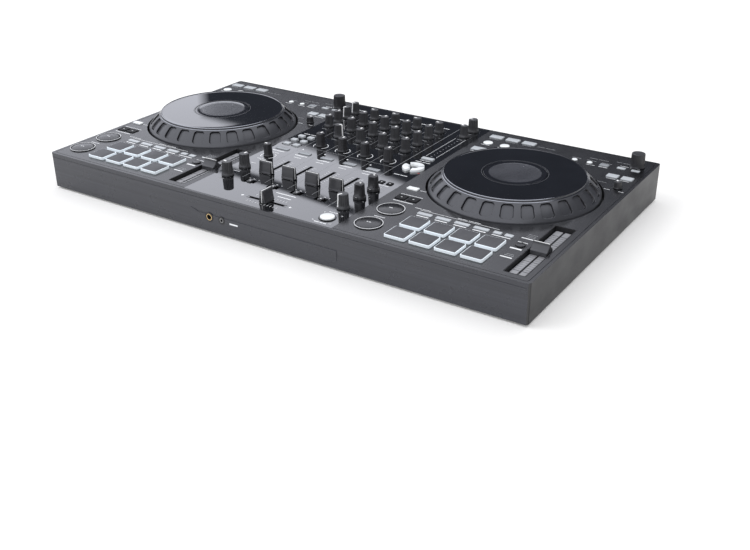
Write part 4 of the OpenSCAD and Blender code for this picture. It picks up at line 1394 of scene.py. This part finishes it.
@dataclass
class Keys:
    """Keys of one CAD node, each shaped on its own solid and finished by where it stands."""

    node: str
    piece: str
    slot: str
    choose: Callable
    skip: Callable = lambda s: False
    stem: float = 1.5

    def button(self, s: Solid, look: Look, high: float) -> Shape:
        """Turns a round key on its stem: a quarter-round edge, then a dome that rises as 1 - t * t.

        Args:
            s: the key's solid.
            look: how it is drawn.
            high: height of its edge.

        Returns:
            The key, its axis at the origin.
        """
        r, bend = s.top_size[0] / 2 - look.less, np.linspace(0, np.pi / 2, 6)
        t = np.array([0.8, 0.6, 0.4, 0.2])
        return revolved(np.vstack([
            [[self.stem, s.low[2]], [self.stem, PANEL - 5], [r, PANEL - 5]],
            np.column_stack([r - look.edge * (1 - np.cos(bend)), high - look.edge * (1 - np.sin(bend))]),
            np.column_stack([(r - look.edge) * t, high + look.crown * (1 - t ** 2)])]), 64)

    def build(self) -> None:
        """Raises each key's outline with a rounded edge and a slight dome, and a mark on the matte ones."""
        parts = []
        for s in solids(self.node):
            if self.skip(s):
                continue
            look = self.choose(s)
            high = s.high[2] - look.drop
            if s.is_round:
                shape = self.button(s, look, high)
            else:
                shape = block(rounded_outline(*(s.top_size - 2 * look.less), 1.0), PANEL - KEY_SUNK, high,
                              edge=look.edge, crown=look.crown)
            if look.tone is KeyTone.MATTE:
                parts.append(bars(0, 0, 2.2, 0.8, high + 0.04, 0.4).painted(KeyTone.MARK).moved(*s.middle))
            parts.append(shape.painted(look.tone).moved(*s.middle))
        make(self.piece, Shape.join(parts), KEY_FINISHES, self.node, (self.node,))


@dataclass
class Pads:
    """Eight performance pads for each deck: lit side walls under a dark rubber top."""

    size: float = 27.0
    pitch: tuple[float, float] = (32.2, 32.8)
    behind_jog: float = -175.0
    rim: float = 1.0
    radius: float = 2.2
    sheet: float = 0.55

    def build(self) -> None:
        """Makes both decks' pads as bright blocks with a rubber sheet on each."""
        high = box("performance_pads")[1][2]
        across, along = self.pitch
        outer, inner = self.size, self.size - 2 * self.rim
        wall = block(rounded_outline(outer, outer, self.radius), PANEL - KEY_SUNK, high - self.sheet + 0.2,
                     edge=0.5)
        sheet = block(rounded_outline(inner, inner, self.radius - 0.5), high - self.sheet - 0.3, high - 0.02,
                      edge=0.3)
        at = [(x + i * across, y + self.behind_jog + j * along, 0) for x, y in JOG_AT.values()
              for i in (-1.5, -0.5, 0.5, 1.5) for j in (-0.5, 0.5)]
        make("pads", Shape.join([wall.repeated(at), sheet.painted(1).repeated(at)]), [PAD_SIDE, PAD_TOP],
             "performance_pads", ("performance_pads",))


@dataclass
class TransportKeys:
    """The play and cue buttons: dark domes in a recess, each in a thin white ring."""

    dome: float = 1.1
    stem: float = 1.5
    play_behind_jog: float = -160.0

    def build(self) -> None:
        """Turns a domed button on each of the four solids' middles, with a plain mark on it."""
        parts = []
        for s in solids("transport_keys"):
            r, top = s.top_size[0] / 2, s.high[2] - self.dome
            t = np.linspace(1, 0.08, 14)
            profile = np.vstack([
                [[self.stem, s.low[2]], [self.stem, PANEL - 4.6], [r, PANEL - 4.6], [r, top - 0.5],
                 [r - 0.2, top - 0.1], [r - 0.7, top - 0.1], [r - 1.4, top - 0.9], [r - 2.0, top - 0.3]],
                np.column_stack([(r - 2.4) * t, top + self.dome * (1 - t ** 2)])])
            is_play = s.middle[1] < JOG_AT["left"][1] + self.play_behind_jog
            across, wide = ([-1.7, 1.6], [2.2, 2.6]) if is_play else (0, 5.0)
            lit = Shape.join([ring(r - 0.65, r + 0.02, top - 0.3, top + 0.02, 96),
                              bars(across, 0, wide, 1.2, s.high[2] + 0.04, 0.3)])
            parts.append(Shape.join([revolved(profile, 96), lit.painted(1)]).moved(*s.middle))
        make("transport_buttons", Shape.join(parts), [KEY_BLACK, INK], "transport_keys", ("transport_keys",))


# ---------------------------------------------------------------- prints on the panel


def marks(rows: list) -> Shape:
    """Makes plain printed bars from rows of x, y, width and depth."""
    return bars(*np.array(rows, float).T, PRINT)


def ticks(x: float, y: float, count: int, step: float, width: float, depth: float) -> Shape:
    """Makes a level row of equal marks, its middle at x, y."""
    return bars(x + step * (np.arange(count) - (count - 1) / 2), y, width, depth, PRINT)


def words(rows: list) -> Shape:
    """Makes plain labels, each a bar in three unequal lengths.

    Args:
        rows: x, y, width and height of each label.

    Returns:
        The labels.
    """
    x, y, width, height = np.repeat(np.array(rows, float), 3, axis=0).T
    share, place = np.tile([0.42, 0.22, 0.28], len(rows)), np.tile([-0.29, 0.09, 0.36], len(rows))
    return bars(x + place * width, y, share * width, height, PRINT)


@dataclass
class DeckPrint:
    """The labels of one deck, placed from its jog wheel's axis."""

    side: str

    def white(self) -> Shape:
        """Makes the bright labels.

        Returns:
            The labels, about the jog wheel's axis.
        """
        plain = [(-94.3, -88.6, 31, 0.9), (-94.3, -110, 28, 1.3), (-12, -119.4, 104, 0.6),
                 (49.6, -135, 23, 1.5), (77, -124.5, 14, 1.9), (77, -154, 14, 2.8), (77, -178, 14, 1.9)]
        plain += [(x, -135.0, 16.4, 1.9) for x in (-52.3, -27.5, -2.7, 22.1)]
        broken = [(-94.2, -162, 15, 1.2), (-62, -116.8, 22, 0.9), (0, -116.8, 30, 0.9), (-90, -69, 9, 0.9),
                  (77, -136, 12, 1.2), (-101.5, 91.5, 18, 1.0), (49, 126, 12, 0.9), (24, 126, 11, 0.9),
                  (-103, 121, 13, 0.9), (-77.5, 121, 13, 0.9), (66, 126.5, 12, 1.3), (98, 58.5, 8, 0.9),
                  (116, 58.5, 7, 0.9), (98, 94.5, 30, 0.8), (97, 143, 26, 0.9)]
        return Shape.join([marks(plain), words(broken)])

    def grey(self) -> Shape:
        """Makes the dim labels.

        Returns:
            The labels, about the jog wheel's axis.
        """
        broken = [(x, 147.2, 14, 0.8) for x in (-102.5, -77.5, -52.5)]
        broken += [(-25, 152, 26, 0.8), (-52, 128, 20, 0.9), (-52, 133, 16, 0.8), (24, 141, 12, 0.9),
                   (45, 141, 13, 0.9), (66, 141, 14, 0.9), (52, 150, 26, 0.8), (84, 154, 18, 0.8),
                   (79, -120, 11, 1.0), (79, -116.5, 10, 0.9), (79, -113, 11, 0.9), (78, -173, 11, 1.0),
                   (78, -169.5, 9, 0.9), (84, 78, 12, 0.8)]
        return Shape.join([marks([(-94.2, -125, 0.6, 2.0)]), words(broken)])

    def build(self) -> None:
        """Lays both inks on the panel."""
        for tone, shape, ink in (("white", self.white(), INK), ("grey", self.grey(), INK_DIM)):
            make(f"deck_labels_{tone}_{self.side}", shape.moved(*JOG_AT[self.side]), [ink])


@dataclass
class TempoScale:
    """Tick plates on both sides of the tempo slider's slot, with painted shade along the slot and a dark line
    of painted shade round the tray.
    """

    side: str
    length: float = 126.0
    plate_w: float = 8.6
    gap: float = 5.5
    pitch: float = 5.0
    shade_line: tuple[float, float] = (26.4, 135.2)
    shade_line_w: float = 1.0

    def build(self) -> None:
        """Lays two pale plates on the tray's floor with dark ticks across them, a dark bar of painted shade
        along the slot, and a line of painted shade round the tray.
        """
        low, high = box(f"tempo_slider_{self.side}")
        x, y = (low[0] + high[0]) / 2, JOG_AT[self.side][1] + TRAY_AT[1]
        parts = []
        k = np.arange(21) - 10
        shape = rounded_outline(self.plate_w, self.length, 0.8)
        for at in (x - self.gap, x + self.gap):
            plate = block(shape, TRAY_FLOOR - 0.1, TRAY_FLOOR + 0.35, edge=0.2)
            thick = np.where(k % 5 == 0, 1.0, 0.45)
            lines = bars(at, y + k * self.pitch, self.plate_w - 0.8, thick, TRAY_FLOOR + 0.4)
            parts += [plate.moved(at, y), lines.painted(1)]
        # A dark bar along the slot between the plates: painted shade.
        slot = bars(x, y - 0.2, 1.0, self.length - 16, TRAY_FLOOR + 0.42)
        # A dark line just outside the tray's edge: painted shade.
        wide, long = self.shade_line
        outer = rounded_outline(wide, long, 2.2)
        inner = rounded_outline(wide - 2 * self.shade_line_w, long - 2 * self.shade_line_w, 1.6)
        rings = [np.column_stack([o, np.full(len(o), z)])
                 for o, z in ((outer, PANEL - 0.1), (outer, PRINT), (inner, PRINT), (inner, PANEL - 0.1))]
        parts += [slot.painted(1), skin(np.stack(rings), loop=True).painted(1).moved(x, y)]
        make(f"tempo_scale_{self.side}", Shape.join(parts), [TICK_PLATE, GROOVE])


@dataclass
class MixerPrint:
    """Everything printed on the mixer's glossy faceplate, and painted shade beside the faders' slots."""

    lines_x: tuple[float, ...] = (-78.0, -41.5, -5.0, 32.0)
    left: float = -98.0
    bracket: float = 12.8
    arc_r: float = 10.3
    dots_r: float = 10.0
    selector_r: float = 12.0

    def channels(self) -> list[float]:
        """Returns the four channels' places across."""
        return [axis_of(f"low_knob_{c}")[0] for c in CHANNELS]

    def lines(self) -> Shape:
        """Returns the thin rules between the channels and across them."""
        return marks([(x, 24, 0.45, 308) for x in self.lines_x] + [(69, 11.5, 0.6, 333), (-4.5, 2, 147, 0.5)])

    def arcs(self) -> Shape:
        """Returns the arc round each channel's colour knob and the effect knob, open to the front."""
        pair = Shape.join([arc_band(self.arc_r, 1.0, *ends, PRINT) for ends in ((22, 140), (-140, -22))])
        return Shape.join([pair.moved(*axis_of(node)) for node in COLOR_KNOBS + [EFFECT_KNOB]])

    def scales(self) -> Shape:
        """Makes eleven dots round each tone and level knob, a label before it, and the selectors' dashes.

        Returns:
            The dim marks round the knobs.
        """
        turn = np.linspace(-150, 150, 11)
        a, t = np.radians(turn), np.radians(np.linspace(-125, 125, 9))
        dots = bars(self.dots_r * np.sin(a), self.dots_r * np.cos(a), 0.5, 0.9, PRINT, degrees=-turn)
        dial = Shape.join([dots, words([(0, -12.4, 8, 1.1)])])
        dashes = bars(self.selector_r * np.sin(t), self.selector_r * np.cos(t), 1.9, 0.9, PRINT)
        return Shape.join([dial.moved(*axis_of(node)) for node in TONE_KNOBS + LEVEL_KNOBS] +
                          [dashes.moved(*axis_of(node)) for node in SELECTORS])

    def faders(self) -> Shape:
        """Makes the faders' scales and the marks of the assign switches.

        Returns:
            The scales beside the channel faders and the crossfader, and three marks before each fader.
        """
        made, k = [], np.arange(11)
        long = np.where(k % 5 == 0, 4.4, 3.0)
        for x in self.channels():
            made += [bars(x + side, -57.0 - 5 * k, long, 0.45, PRINT) for side in (-7.0, 7.0)]
            made.append(marks([(x + side, -127.6, 1.2 if side else 3.2, 1.0) for side in (-7.2, 0, 7.2)]))
        made += [ticks(-2, y, 11, 4.5, 0.5, 3.4) for y in (-165.6, -185.4)]
        return Shape.join(made)

    def slot_shades(self) -> Shape:
        """Makes dark bars of painted shade at the lips of the faders' slots.

        Returns:
            A bar along each side of every slot.
        """
        slots, y = [middle_of(f"channel_fader_{c}")[0] for c in CHANNELS], middle_of("crossfader")[1]
        return marks([(x + side, -83.5, 1.0, 60) for x in slots for side in (-2, 2)] +
                     [(-2.0, y + side, 60, 1.0) for side in (-2, 2)])

    def bright(self) -> Shape:
        """Makes what stands out most.

        Returns:
            The bars under the cue keys, the crossfader's side marks and the bright labels.
        """
        plain = [(x + dx, y, w, d) for x in self.channels()
                 for dx, y, w, d in ((0, -29.4, 20, 1.6), (0, -37.5, 12, 1.2), (-12.5, -7.5, 2.2, 2.6))]
        plain += [(self.left, -29.4, 20, 1.6), (6, -147.5, 30, 1.7), (10, -156.5, 20, 1.7)]
        broken = [(x, 171, 13, 1.6) for x in self.channels()]
        broken += [(self.left, y, w, h) for y, w, h in ((-37.5, 14, 1.2), (-66, 14, 1.2), (-83, 8, 1.0),
                                                        (-117.5, 10, 1.1), (46, 24, 1.2), (176, 18, 1.3))]
        broken += [(88.5, -191, 17, 1.6), (91, 37.5, 22, 1.4), (90, -16.5, 20, 1.4), (89, -58.5, 18, 1.3),
                   (89, -66.5, 10, 1.1), (86, -160, 12, 1.2), (91, 43.5, 16, 1.0)]
        (x, y), far, near = START_KEY, self.bracket, 0.94 * self.bracket
        for i, j in ((-1, -1), (1, -1), (1, 1), (-1, 1)):
            plain += [(x + i * near, y + j * far, 2.4, 0.6), (x + i * far, y + j * near, 0.6, 2.4)]
        dots = disc(1.7, PRINT).repeated([(at, middle_of("crossfader")[1], 0) for at in (-39.5, 33.5)])
        return Shape.join([marks(plain), words(broken), dots])

    def meter(self) -> Shape:
        """Returns the level meter: dotted columns down both sides of a dim scale."""
        return marks([(x, 62 + 2.75 * k, 1.2, 1.0) for x in (82.5, 98) for k in range(30)])

    def dim(self) -> Shape:
        """Makes what is faintest.

        Returns:
            The level meter's scale and the small labels among the tone knobs.
        """
        plain = [(90.2, 62 + 7.9 * k, 1.4 if k % 3 else 2.6, 1.1) for k in range(11)]
        plain += [(x + side, 76, 0.9, 0.9) for x in self.channels() for side in (-13.3, 13.3)]
        broken = [(x + 12.0, y, 4, 0.8) for x in self.channels() for y in (68, 100, 131)]
        return Shape.join([marks(plain), words(broken)])

    def build(self) -> None:
        """Lays the prints on the faceplate, and the painted shade beside the faders' slots."""
        white, grey = (self.arcs, self.faders, self.bright, self.meter), (self.lines, self.scales, self.dim)
        make("mixer_print_white", Shape.join([part() for part in white]), [INK])
        make("mixer_print_grey", Shape.join([part() for part in grey]), [INK_DIM])
        # Dark bars beside every fader slot: painted shade that makes the slots look wider and darker.
        make("fader_slot_painted_shade", self.slot_shades(), [GROOVE])


def build_key_trim() -> None:
    """Makes the collars of the round keys and the small red lamp by the level knobs."""
    collars = [ring(9.0, 10.4, PANEL - 0.4, PANEL + 0.9, 96).moved(*START_KEY)]
    small = ring(6.0, 7.4, PANEL - 0.4, PANEL + 0.25, 48)
    collars += [small.moved(x + 78, y - 144) for x, y in JOG_AT.values()]
    make("key_collars", Shape.join(collars), [KEY_BLACK])
    lamp = revolved([(1.4, PANEL - 0.6), (1.4, PANEL + 0.15), (0.9, PANEL + 0.4), (0.3, PANEL + 0.5)], 24)
    make("level_lamps", lamp.moved(106.5, 0.5), [INK_RED])


# ---------------------------------------------------------------- the case and what stays in it


FRONT_AXES = [[1, 0, 0], [0, 0, 1], [0, -1, 0]]
REAR_AXES = [[-1, 0, 0], [0, 0, 1], [0, 1, 0]]


class Zone(IntEnum):
    """The parts of the housing that differ in finish: places in its list of finishes."""

    TOP = 0
    # The fine groove near the rim, painted near-black as shade.
    GROOVE = 1
    WELL = 2
    FRONT = 3
    SIDE = 4


@dataclass
class Case:
    """The housing, the trays, the boards and the feet: mostly CAD nodes with their finishes."""

    edge: float = 0.5
    wall: float = 0.9
    well_r: float = 110.5
    well_depth: float = 12.5
    tray_half: tuple[float, float] = (12.1, 66.6)
    tray_depth: float = 8.0
    groove_rim: tuple[float, float] = (3.5, 5.0)
    board_faces: tuple[float, float] = (29.0, 31.7)
    spindle_steel: float = 8.0

    def build(self) -> None:
        """Dresses the case's own nodes and adds the feet and the labels on its front and rear."""
        self.paint_case()
        dress("rear_panel", TRAY, 0.3)
        dress("base_tray", TRAY, 0.3)
        dress("mixer_faceplate", FACEPLATE)
        dress("power_button", SOCKET_BODY, 0.5)
        dress("case_screws", SCREW)
        low, high = self.board_faces
        repaint("jog_spindles", [GLASS, STEM], lambda m: np.where(m[:, 2] > PANEL + self.spindle_steel, 0, 1))
        repaint("circuit_boards", [BOARD, POT], lambda m: np.where((m[:, 2] > high) | (m[:, 2] < low), 1, 0))
        Sockets().build()
        self.feet()
        self.front_label()
        self.rear_labels()

    def zone(self, m: Array) -> Array:
        """Tells the housing's faces apart by their place.

        Args:
            m: (n, 3) face middles.

        Returns:
            (n,) zones.
        """
        x, y, z = m.T
        (x0, y0, _), (x1, y1, _) = box("top_case")
        index = np.full(len(m), Zone.TOP)
        under, sunk = z < PANEL - 0.1, z < PANEL - 0.02
        index[(np.minimum(x - x0, x1 - x) < self.wall) & under] = Zone.SIDE
        index[(y < y0 + self.wall) & under] = Zone.FRONT
        rim = np.minimum.reduce([x - x0, x1 - x, y - y0, y1 - y])
        near, far = self.groove_rim
        # Painted shade in the fine groove near the rim.
        index[(z > PANEL - 0.45) & sunk & (rim > near) & (rim < far)] = Zone.GROOVE
        wide, long = self.tray_half
        for jx, jy in JOG_AT.values():
            well = (np.hypot(x - jx, y - jy) < self.well_r) & sunk & (z > PANEL - self.well_depth)
            tray = (np.abs(x - jx - TRAY_AT[0]) < wide) & (np.abs(y - jy - TRAY_AT[1]) < long) & \
                sunk & (z > PANEL - self.tray_depth) & (np.abs(z - TRAY_FLOOR) > 0.02)
            index[well | tray] = Zone.WELL
        return index

    def paint_case(self) -> None:
        """Dresses the housing, dark in its wells and trays, with painted shade in its fine groove lines, and
        rounds its edges a little.
        """
        repaint("top_case", [CASE, GROOVE, WELL, FRONT, CASE_SIDE], self.zone)
        soften("top_case", self.edge)

    def feet(self) -> None:
        """Turns a ribbed rubber foot in the place of each plain one."""
        parts = []
        for s in solids("rubber_feet"):
            r, h = s.top_size[0] / 2, s.high[2]
            profile = [(r - 4.5, 0.35), (r - 4.2, 0), (r - 1.0, 0), (r - 0.25, 0.3), (r, 1.0), (r - 0.2, 1.6),
                       (r, 2.0), (r, h)]
            parts.append(revolved(profile, 64).moved(*s.middle))
        make("feet", Shape.join(parts), [RUBBER], CHASSIS, ("rubber_feet",))

    def front_label(self) -> None:
        """Lays the plain bar beside the front sockets, on the set-back front."""
        face = -box("top_case")[0][1] - 0.2
        make("front_label", bars(-36, 21.5, 13, 2.0, face + 0.05, 0.2).laid(FRONT_AXES), [INK])

    def rear_labels(self) -> None:
        """Lays plain bars over the rear sockets."""
        face = box("rear_panel")[1][1]
        x = np.array([20, 50, 80, 110, -30, -50, 172, 196, -102, -130, -192, -216, -300, -262], float)
        made = bars(x, 35.2, np.where(np.abs(x) < 60, 9, 13), 1.1, face + 0.06, 0.2)
        make("rear_labels", made.laid(REAR_AXES), [INK_DIM])


# ---------------------------------------------------------------- the sockets


class Plating(IntEnum):
    """What a socket's face is made of: places in the sockets' list of finishes."""

    BLACK = 0
    BRASS = 1
    NICKEL = 2
    RED = 3
    WHITE = 4


@dataclass
class Sockets:
    """The sockets on the front and the rear, finished by kind from where they stand.

    phonos and plated are ranges on X, of the phono sockets and of the sockets with a nickel flange;
    balanced and front are places on X, of the two large outputs and of the two phones sockets.
    """

    phonos: tuple[float, float] = (-120.0, -10.0)
    phono_bay: float = 16.0
    phono_mouth: float = 5.0
    level: float = 22.0
    plated: tuple[tuple[float, float], ...] = ((88.0, 224.0), (24.0, 56.0), (-202.0, -166.0))
    flange: float = 3.2
    balanced: tuple[float, float] = (102.0, 130.0)
    insert_half: tuple[float, float] = (7.4, 7.3)
    insert_sunk: float = 1.9
    front: tuple[float, float] = (-75.0, -55.0)
    front_level: float = 23.0

    def kind(self, m: Array) -> Array:
        """Tells the sockets' faces apart by their place.

        Args:
            m: (n, 3) face middles.

        Returns:
            (n,) platings.
        """
        rear = box("sockets")[1][1]
        x, y, z = m.T
        index = np.full(len(m), Plating.BLACK)
        phono = (x > self.phonos[0]) & (x < self.phonos[1]) & (y > rear - self.phono_bay)
        index[phono] = np.where(z[phono] > self.level, Plating.RED, Plating.WHITE)
        index[phono & (y < rear - self.phono_mouth)] = Plating.NICKEL
        for low, high in self.plated:
            index[(x > low) & (x < high) & (y > rear - self.flange)] = Plating.NICKEL
        wide, tall = self.insert_half
        insert = (np.abs(z - self.level) < tall) & (y < rear - self.insert_sunk)
        for at in self.balanced:
            index[(np.abs(x - at) < wide) & insert] = Plating.BRASS
        return index

    def build(self) -> None:
        """Finishes the sockets by kind, and adds a metal rim round each of the two front ones."""
        repaint("sockets", [SOCKET_BODY, BRASS, NICKEL, PHONO_RED, PHONO_WHITE], self.kind)
        large, small = self.front
        rims = Shape.join([ring(3.5, 4.3, -0.5, 0.12, 64).moved(large, self.front_level),
                           ring(2.1, 2.6, -0.5, 0.12, 48).painted(1).moved(small, self.front_level)])
        make("front_socket_rims", rims.laid(FRONT_AXES).moved(y=box("sockets")[0][1]), [BRASS, STEM])


# ---------------------------------------------------------------- the fan keys


@dataclass
class FanKeys:
    """Three fan-shaped keys round one point, in the middle of the right column."""

    x: float = 91.5
    y: float = 13.0
    inner: float = 6.5
    outer: float = 14.9
    half: float = 48.0
    rise: float = 3.0
    angles: tuple[int, ...] = (90, 210, 330)

    def holds(self, s: Solid) -> bool:
        """Tells whether a solid's middle lies among the fans."""
        return math.hypot(s.middle[0] - self.x, s.middle[1] - self.y) < self.outer

    def build(self) -> None:
        """Raises each sector's outline, its outer corners drawn in, and lays a small disc between them."""
        t = np.radians(np.linspace(-self.half, self.half, 15))
        parts = []
        for angle in self.angles:
            a = math.radians(angle) + t
            ray = np.stack([np.cos(a), np.sin(a)], -1)
            out, back = self.outer * ray, self.inner * ray[::-1]
            outline = np.vstack([out[:1] * 0.97, out[1:-1], out[-1:] * 0.97, back])
            parts.append(block(outline, PANEL - KEY_SUNK, PANEL + self.rise, edge=0.9).moved(self.x, self.y))
        make("fan_keys", Shape.join(parts), [KEY_WHITE], "mixer_keys", ("mixer_keys",))
        make("fan_keys_middle", disc(1.5, PRINT + 0.05).moved(self.x, self.y), [INK_DIM])


# ---------------------------------------------------------------- camera, floor and light


def show(name: str, data: object, place: Matrix) -> bpy.types.Object:
    """Adds an object of the script's own to the scene, such as the camera or a lamp, and places it.

    Args:
        name: its name.
        data: its mesh, camera or light.
        place: its matrix in the world.

    Returns:
        The object.
    """
    shown = bpy.data.objects.new(name, data)
    shown.matrix_world = place
    bpy.context.scene.collection.objects.link(shown)
    return shown


@dataclass(frozen=True)
class Viewpoint:
    """The camera's place in metres, its turn from +Y towards -X, its tilt down and its roll, in degrees."""

    place: tuple[float, float, float] = (0.7109, -1.0263, 0.5237)
    azimuth: float = 33.215
    elevation: float = 27.469
    roll: float = -0.353
    lens: float = 47.48
    sensor: float = 36.0
    reach: float = 60.0

    def build(self) -> None:
        """Makes the camera: right, up and back axes are worked out from the three angles."""
        a, e, k = (math.radians(v) for v in (self.azimuth, self.elevation, self.roll))
        ahead = Vector((-math.sin(a) * math.cos(e), math.cos(a) * math.cos(e), -math.sin(e)))
        level = ahead.cross(Vector((0, 0, 1))).normalized()
        over = level.cross(ahead)
        right = level * math.cos(k) + over * math.sin(k)
        up = over * math.cos(k) - level * math.sin(k)
        data = bpy.data.cameras.new("camera")
        data.lens, data.sensor_width, data.clip_end = self.lens, self.sensor, self.reach
        turn = Matrix((right, up, -ahead)).transposed().to_4x4()
        bpy.context.scene.camera = show("camera", data, Matrix.Translation(self.place) @ turn)
        LOG.info("camera: %.1f mm lens", self.lens)


@dataclass
class Studio:
    """A pale floor, a soft world and three soft lamps."""

    floor: float = 6.0
    lift: float = 0.14
    room: tuple[float, float, float] = (0.045, 0.050, 0.064)
    panel: tuple[float, float, float] = (1.36, 1.39, 1.53)
    slant: float = 0.40
    canopy: tuple[float, float] = (0.568, 0.574)
    gap: tuple[float, float, float, float] = (0.606, 0.609, 0.613, 0.616)
    gap_end: tuple[float, float] = (-0.52, -0.50)
    screen_slant: float = 0.9425
    screen_edge: float = 0.008
    screen_foot: tuple[float, float] = (0.05, 0.15)
    screen_top: tuple[float, float] = (0.590, 0.600)
    aim: tuple[float, float, float] = (0.0, 0.0, 0.05)

    def build(self) -> None:
        """Makes the floor, the world and the lamps."""
        self.lay_floor()
        self.light_world()
        self.lamp("key", (-1.5, -1.2, 2.0), 1.6, 24.0)
        self.lamp("fill", (1.9, -1.6, 1.5), 1.6, 8.0)
        self.lamp("rear", (0.4, 1.9, 1.6), 1.2, 9.0)
        bpy.context.scene.view_settings.view_transform = "Standard"

    def lay_floor(self) -> None:
        """Lays a pale plane that the camera sees as white apart from the object's shadow."""
        half = self.floor / 2
        corners = [(-half, -half, 0), (half, -half, 0), (half, half, 0), (-half, half, 0)]
        mesh = bpy.data.meshes.new("floor")
        mesh.from_pydata(corners, [], [(0, 1, 2, 3)])
        graph = Graph("floor_pale")
        cloud = graph.spread(graph.noise(400.0, 2.0), 0, 1)
        graph.wire("Base Color", graph.blend(cloud, (0.86, 0.86, 0.87), (0.9, 0.9, 0.9)))
        graph.set(Roughness=0.9, Specular_IOR_Level=0.1, Emission_Color=(1, 1, 1, 1))
        graph.wire("Emission Strength", graph.math("MULTIPLY", graph.sees_backdrop(), self.lift))
        mesh.materials.append(graph.material)
        show("floor", mesh, Matrix.Identity(4))

    def light_world(self) -> None:
        """Builds the world: soft light from above and a white backdrop.

        The light that falls on surfaces rises with height. Gloss shows a bright canopy overhead and
        a bright screen in front of the left deck, and between them the dim room behind the object.
        The canopy's edge is the plane z = slant * x + canopy, the screen's is x + screen_slant * y = 0,
        and a dark gap runs along the canopy where two of its panels meet.
        """
        sky = SkyGraph("studio")
        x, y, z = sky.add("SeparateXYZ", {0: sky.object}).outputs
        light = sky.spread(z, 0.45, 1.0, 0.0, 0.9)
        over = sky.math("SUBTRACT", z, sky.math("MULTIPLY", x, self.slant))
        opens, shuts = sky.spread(over, 0, 1, *self.gap[:2]), sky.spread(over, 1, 0, *self.gap[2:])
        gap = sky.math("MULTIPLY", sky.math("MULTIPLY", opens, shuts), sky.spread(x, 1, 0, *self.gap_end))
        canopy = sky.math("SUBTRACT", sky.spread(over, 0, 1, *self.canopy), gap)
        beside = sky.math("ADD", x, sky.math("MULTIPLY", y, self.screen_slant))
        screen = sky.math("MULTIPLY", sky.spread(beside, 1, 0, -self.screen_edge, self.screen_edge),
                          sky.spread(z, 0, 1, *self.screen_foot))
        screen = sky.math("MULTIPLY", screen, sky.spread(over, 1, 0, *self.screen_top))
        below = sky.spread(z, 1, 0, -0.02, 0.02)
        bright = sky.math("MAXIMUM", sky.math("MAXIMUM", canopy, screen), below)
        tone = sky.blend(sky.sees_backdrop(), light, sky.blend(bright, self.room, self.panel))
        shown = sky.blend(sky.add("LightPath").outputs["Is Camera Ray"], tone, (1, 1, 1))
        back = sky.add("Background", {"Color": shown})
        sky.links.new(back.outputs[0], sky.add("OutputWorld").inputs[0])

    def lamp(self, name: str, place: tuple, size: float, power: float) -> None:
        """Hangs a square area lamp that faces the object's middle and stays out of its gloss.

        Args:
            name: its name.
            place: where it hangs, in metres.
            size: side of the square, in metres.
            power: watts.
        """
        data = bpy.data.lights.new(name, "AREA")
        data.energy, data.size = power, size
        turn = (Vector(self.aim) - Vector(place)).to_track_quat("-Z", "Y").to_matrix().to_4x4()
        show(name, data, Matrix.Translation(place) @ turn).visible_glossy = False


def main() -> None:
    """Builds the whole console in order."""
    logging.basicConfig(level=logging.INFO, format="%(name)s: %(message)s")
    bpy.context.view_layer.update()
    Viewpoint().build()
    Case().build()
    fans = FanKeys()
    Keys("deck_keys", "deck_key_caps", "key_light", deck_key_look).build()
    Keys("mixer_keys", "mixer_key_caps", "key_white", mixer_key_look, skip=fans.holds).build()
    fans.build()
    TransportKeys().build()
    Pads().build()
    AssignSwitches().build()
    for c in CHANNELS:
        MixerFader(f"channel_fader_{c}").build()
    MixerFader("crossfader", across=True).build()
    for side in SIDES:
        TempoFader(side).build()
        TempoScale(side).build()
        JogWheel(side).build()
        JogDisplay(side).build()
        DeckPrint(side).build()
    build_knobs()
    MixerPrint().build()
    build_key_trim()
    Studio().build()
    bpy.context.view_layer.update()


if __name__ == "__main__":
    main()
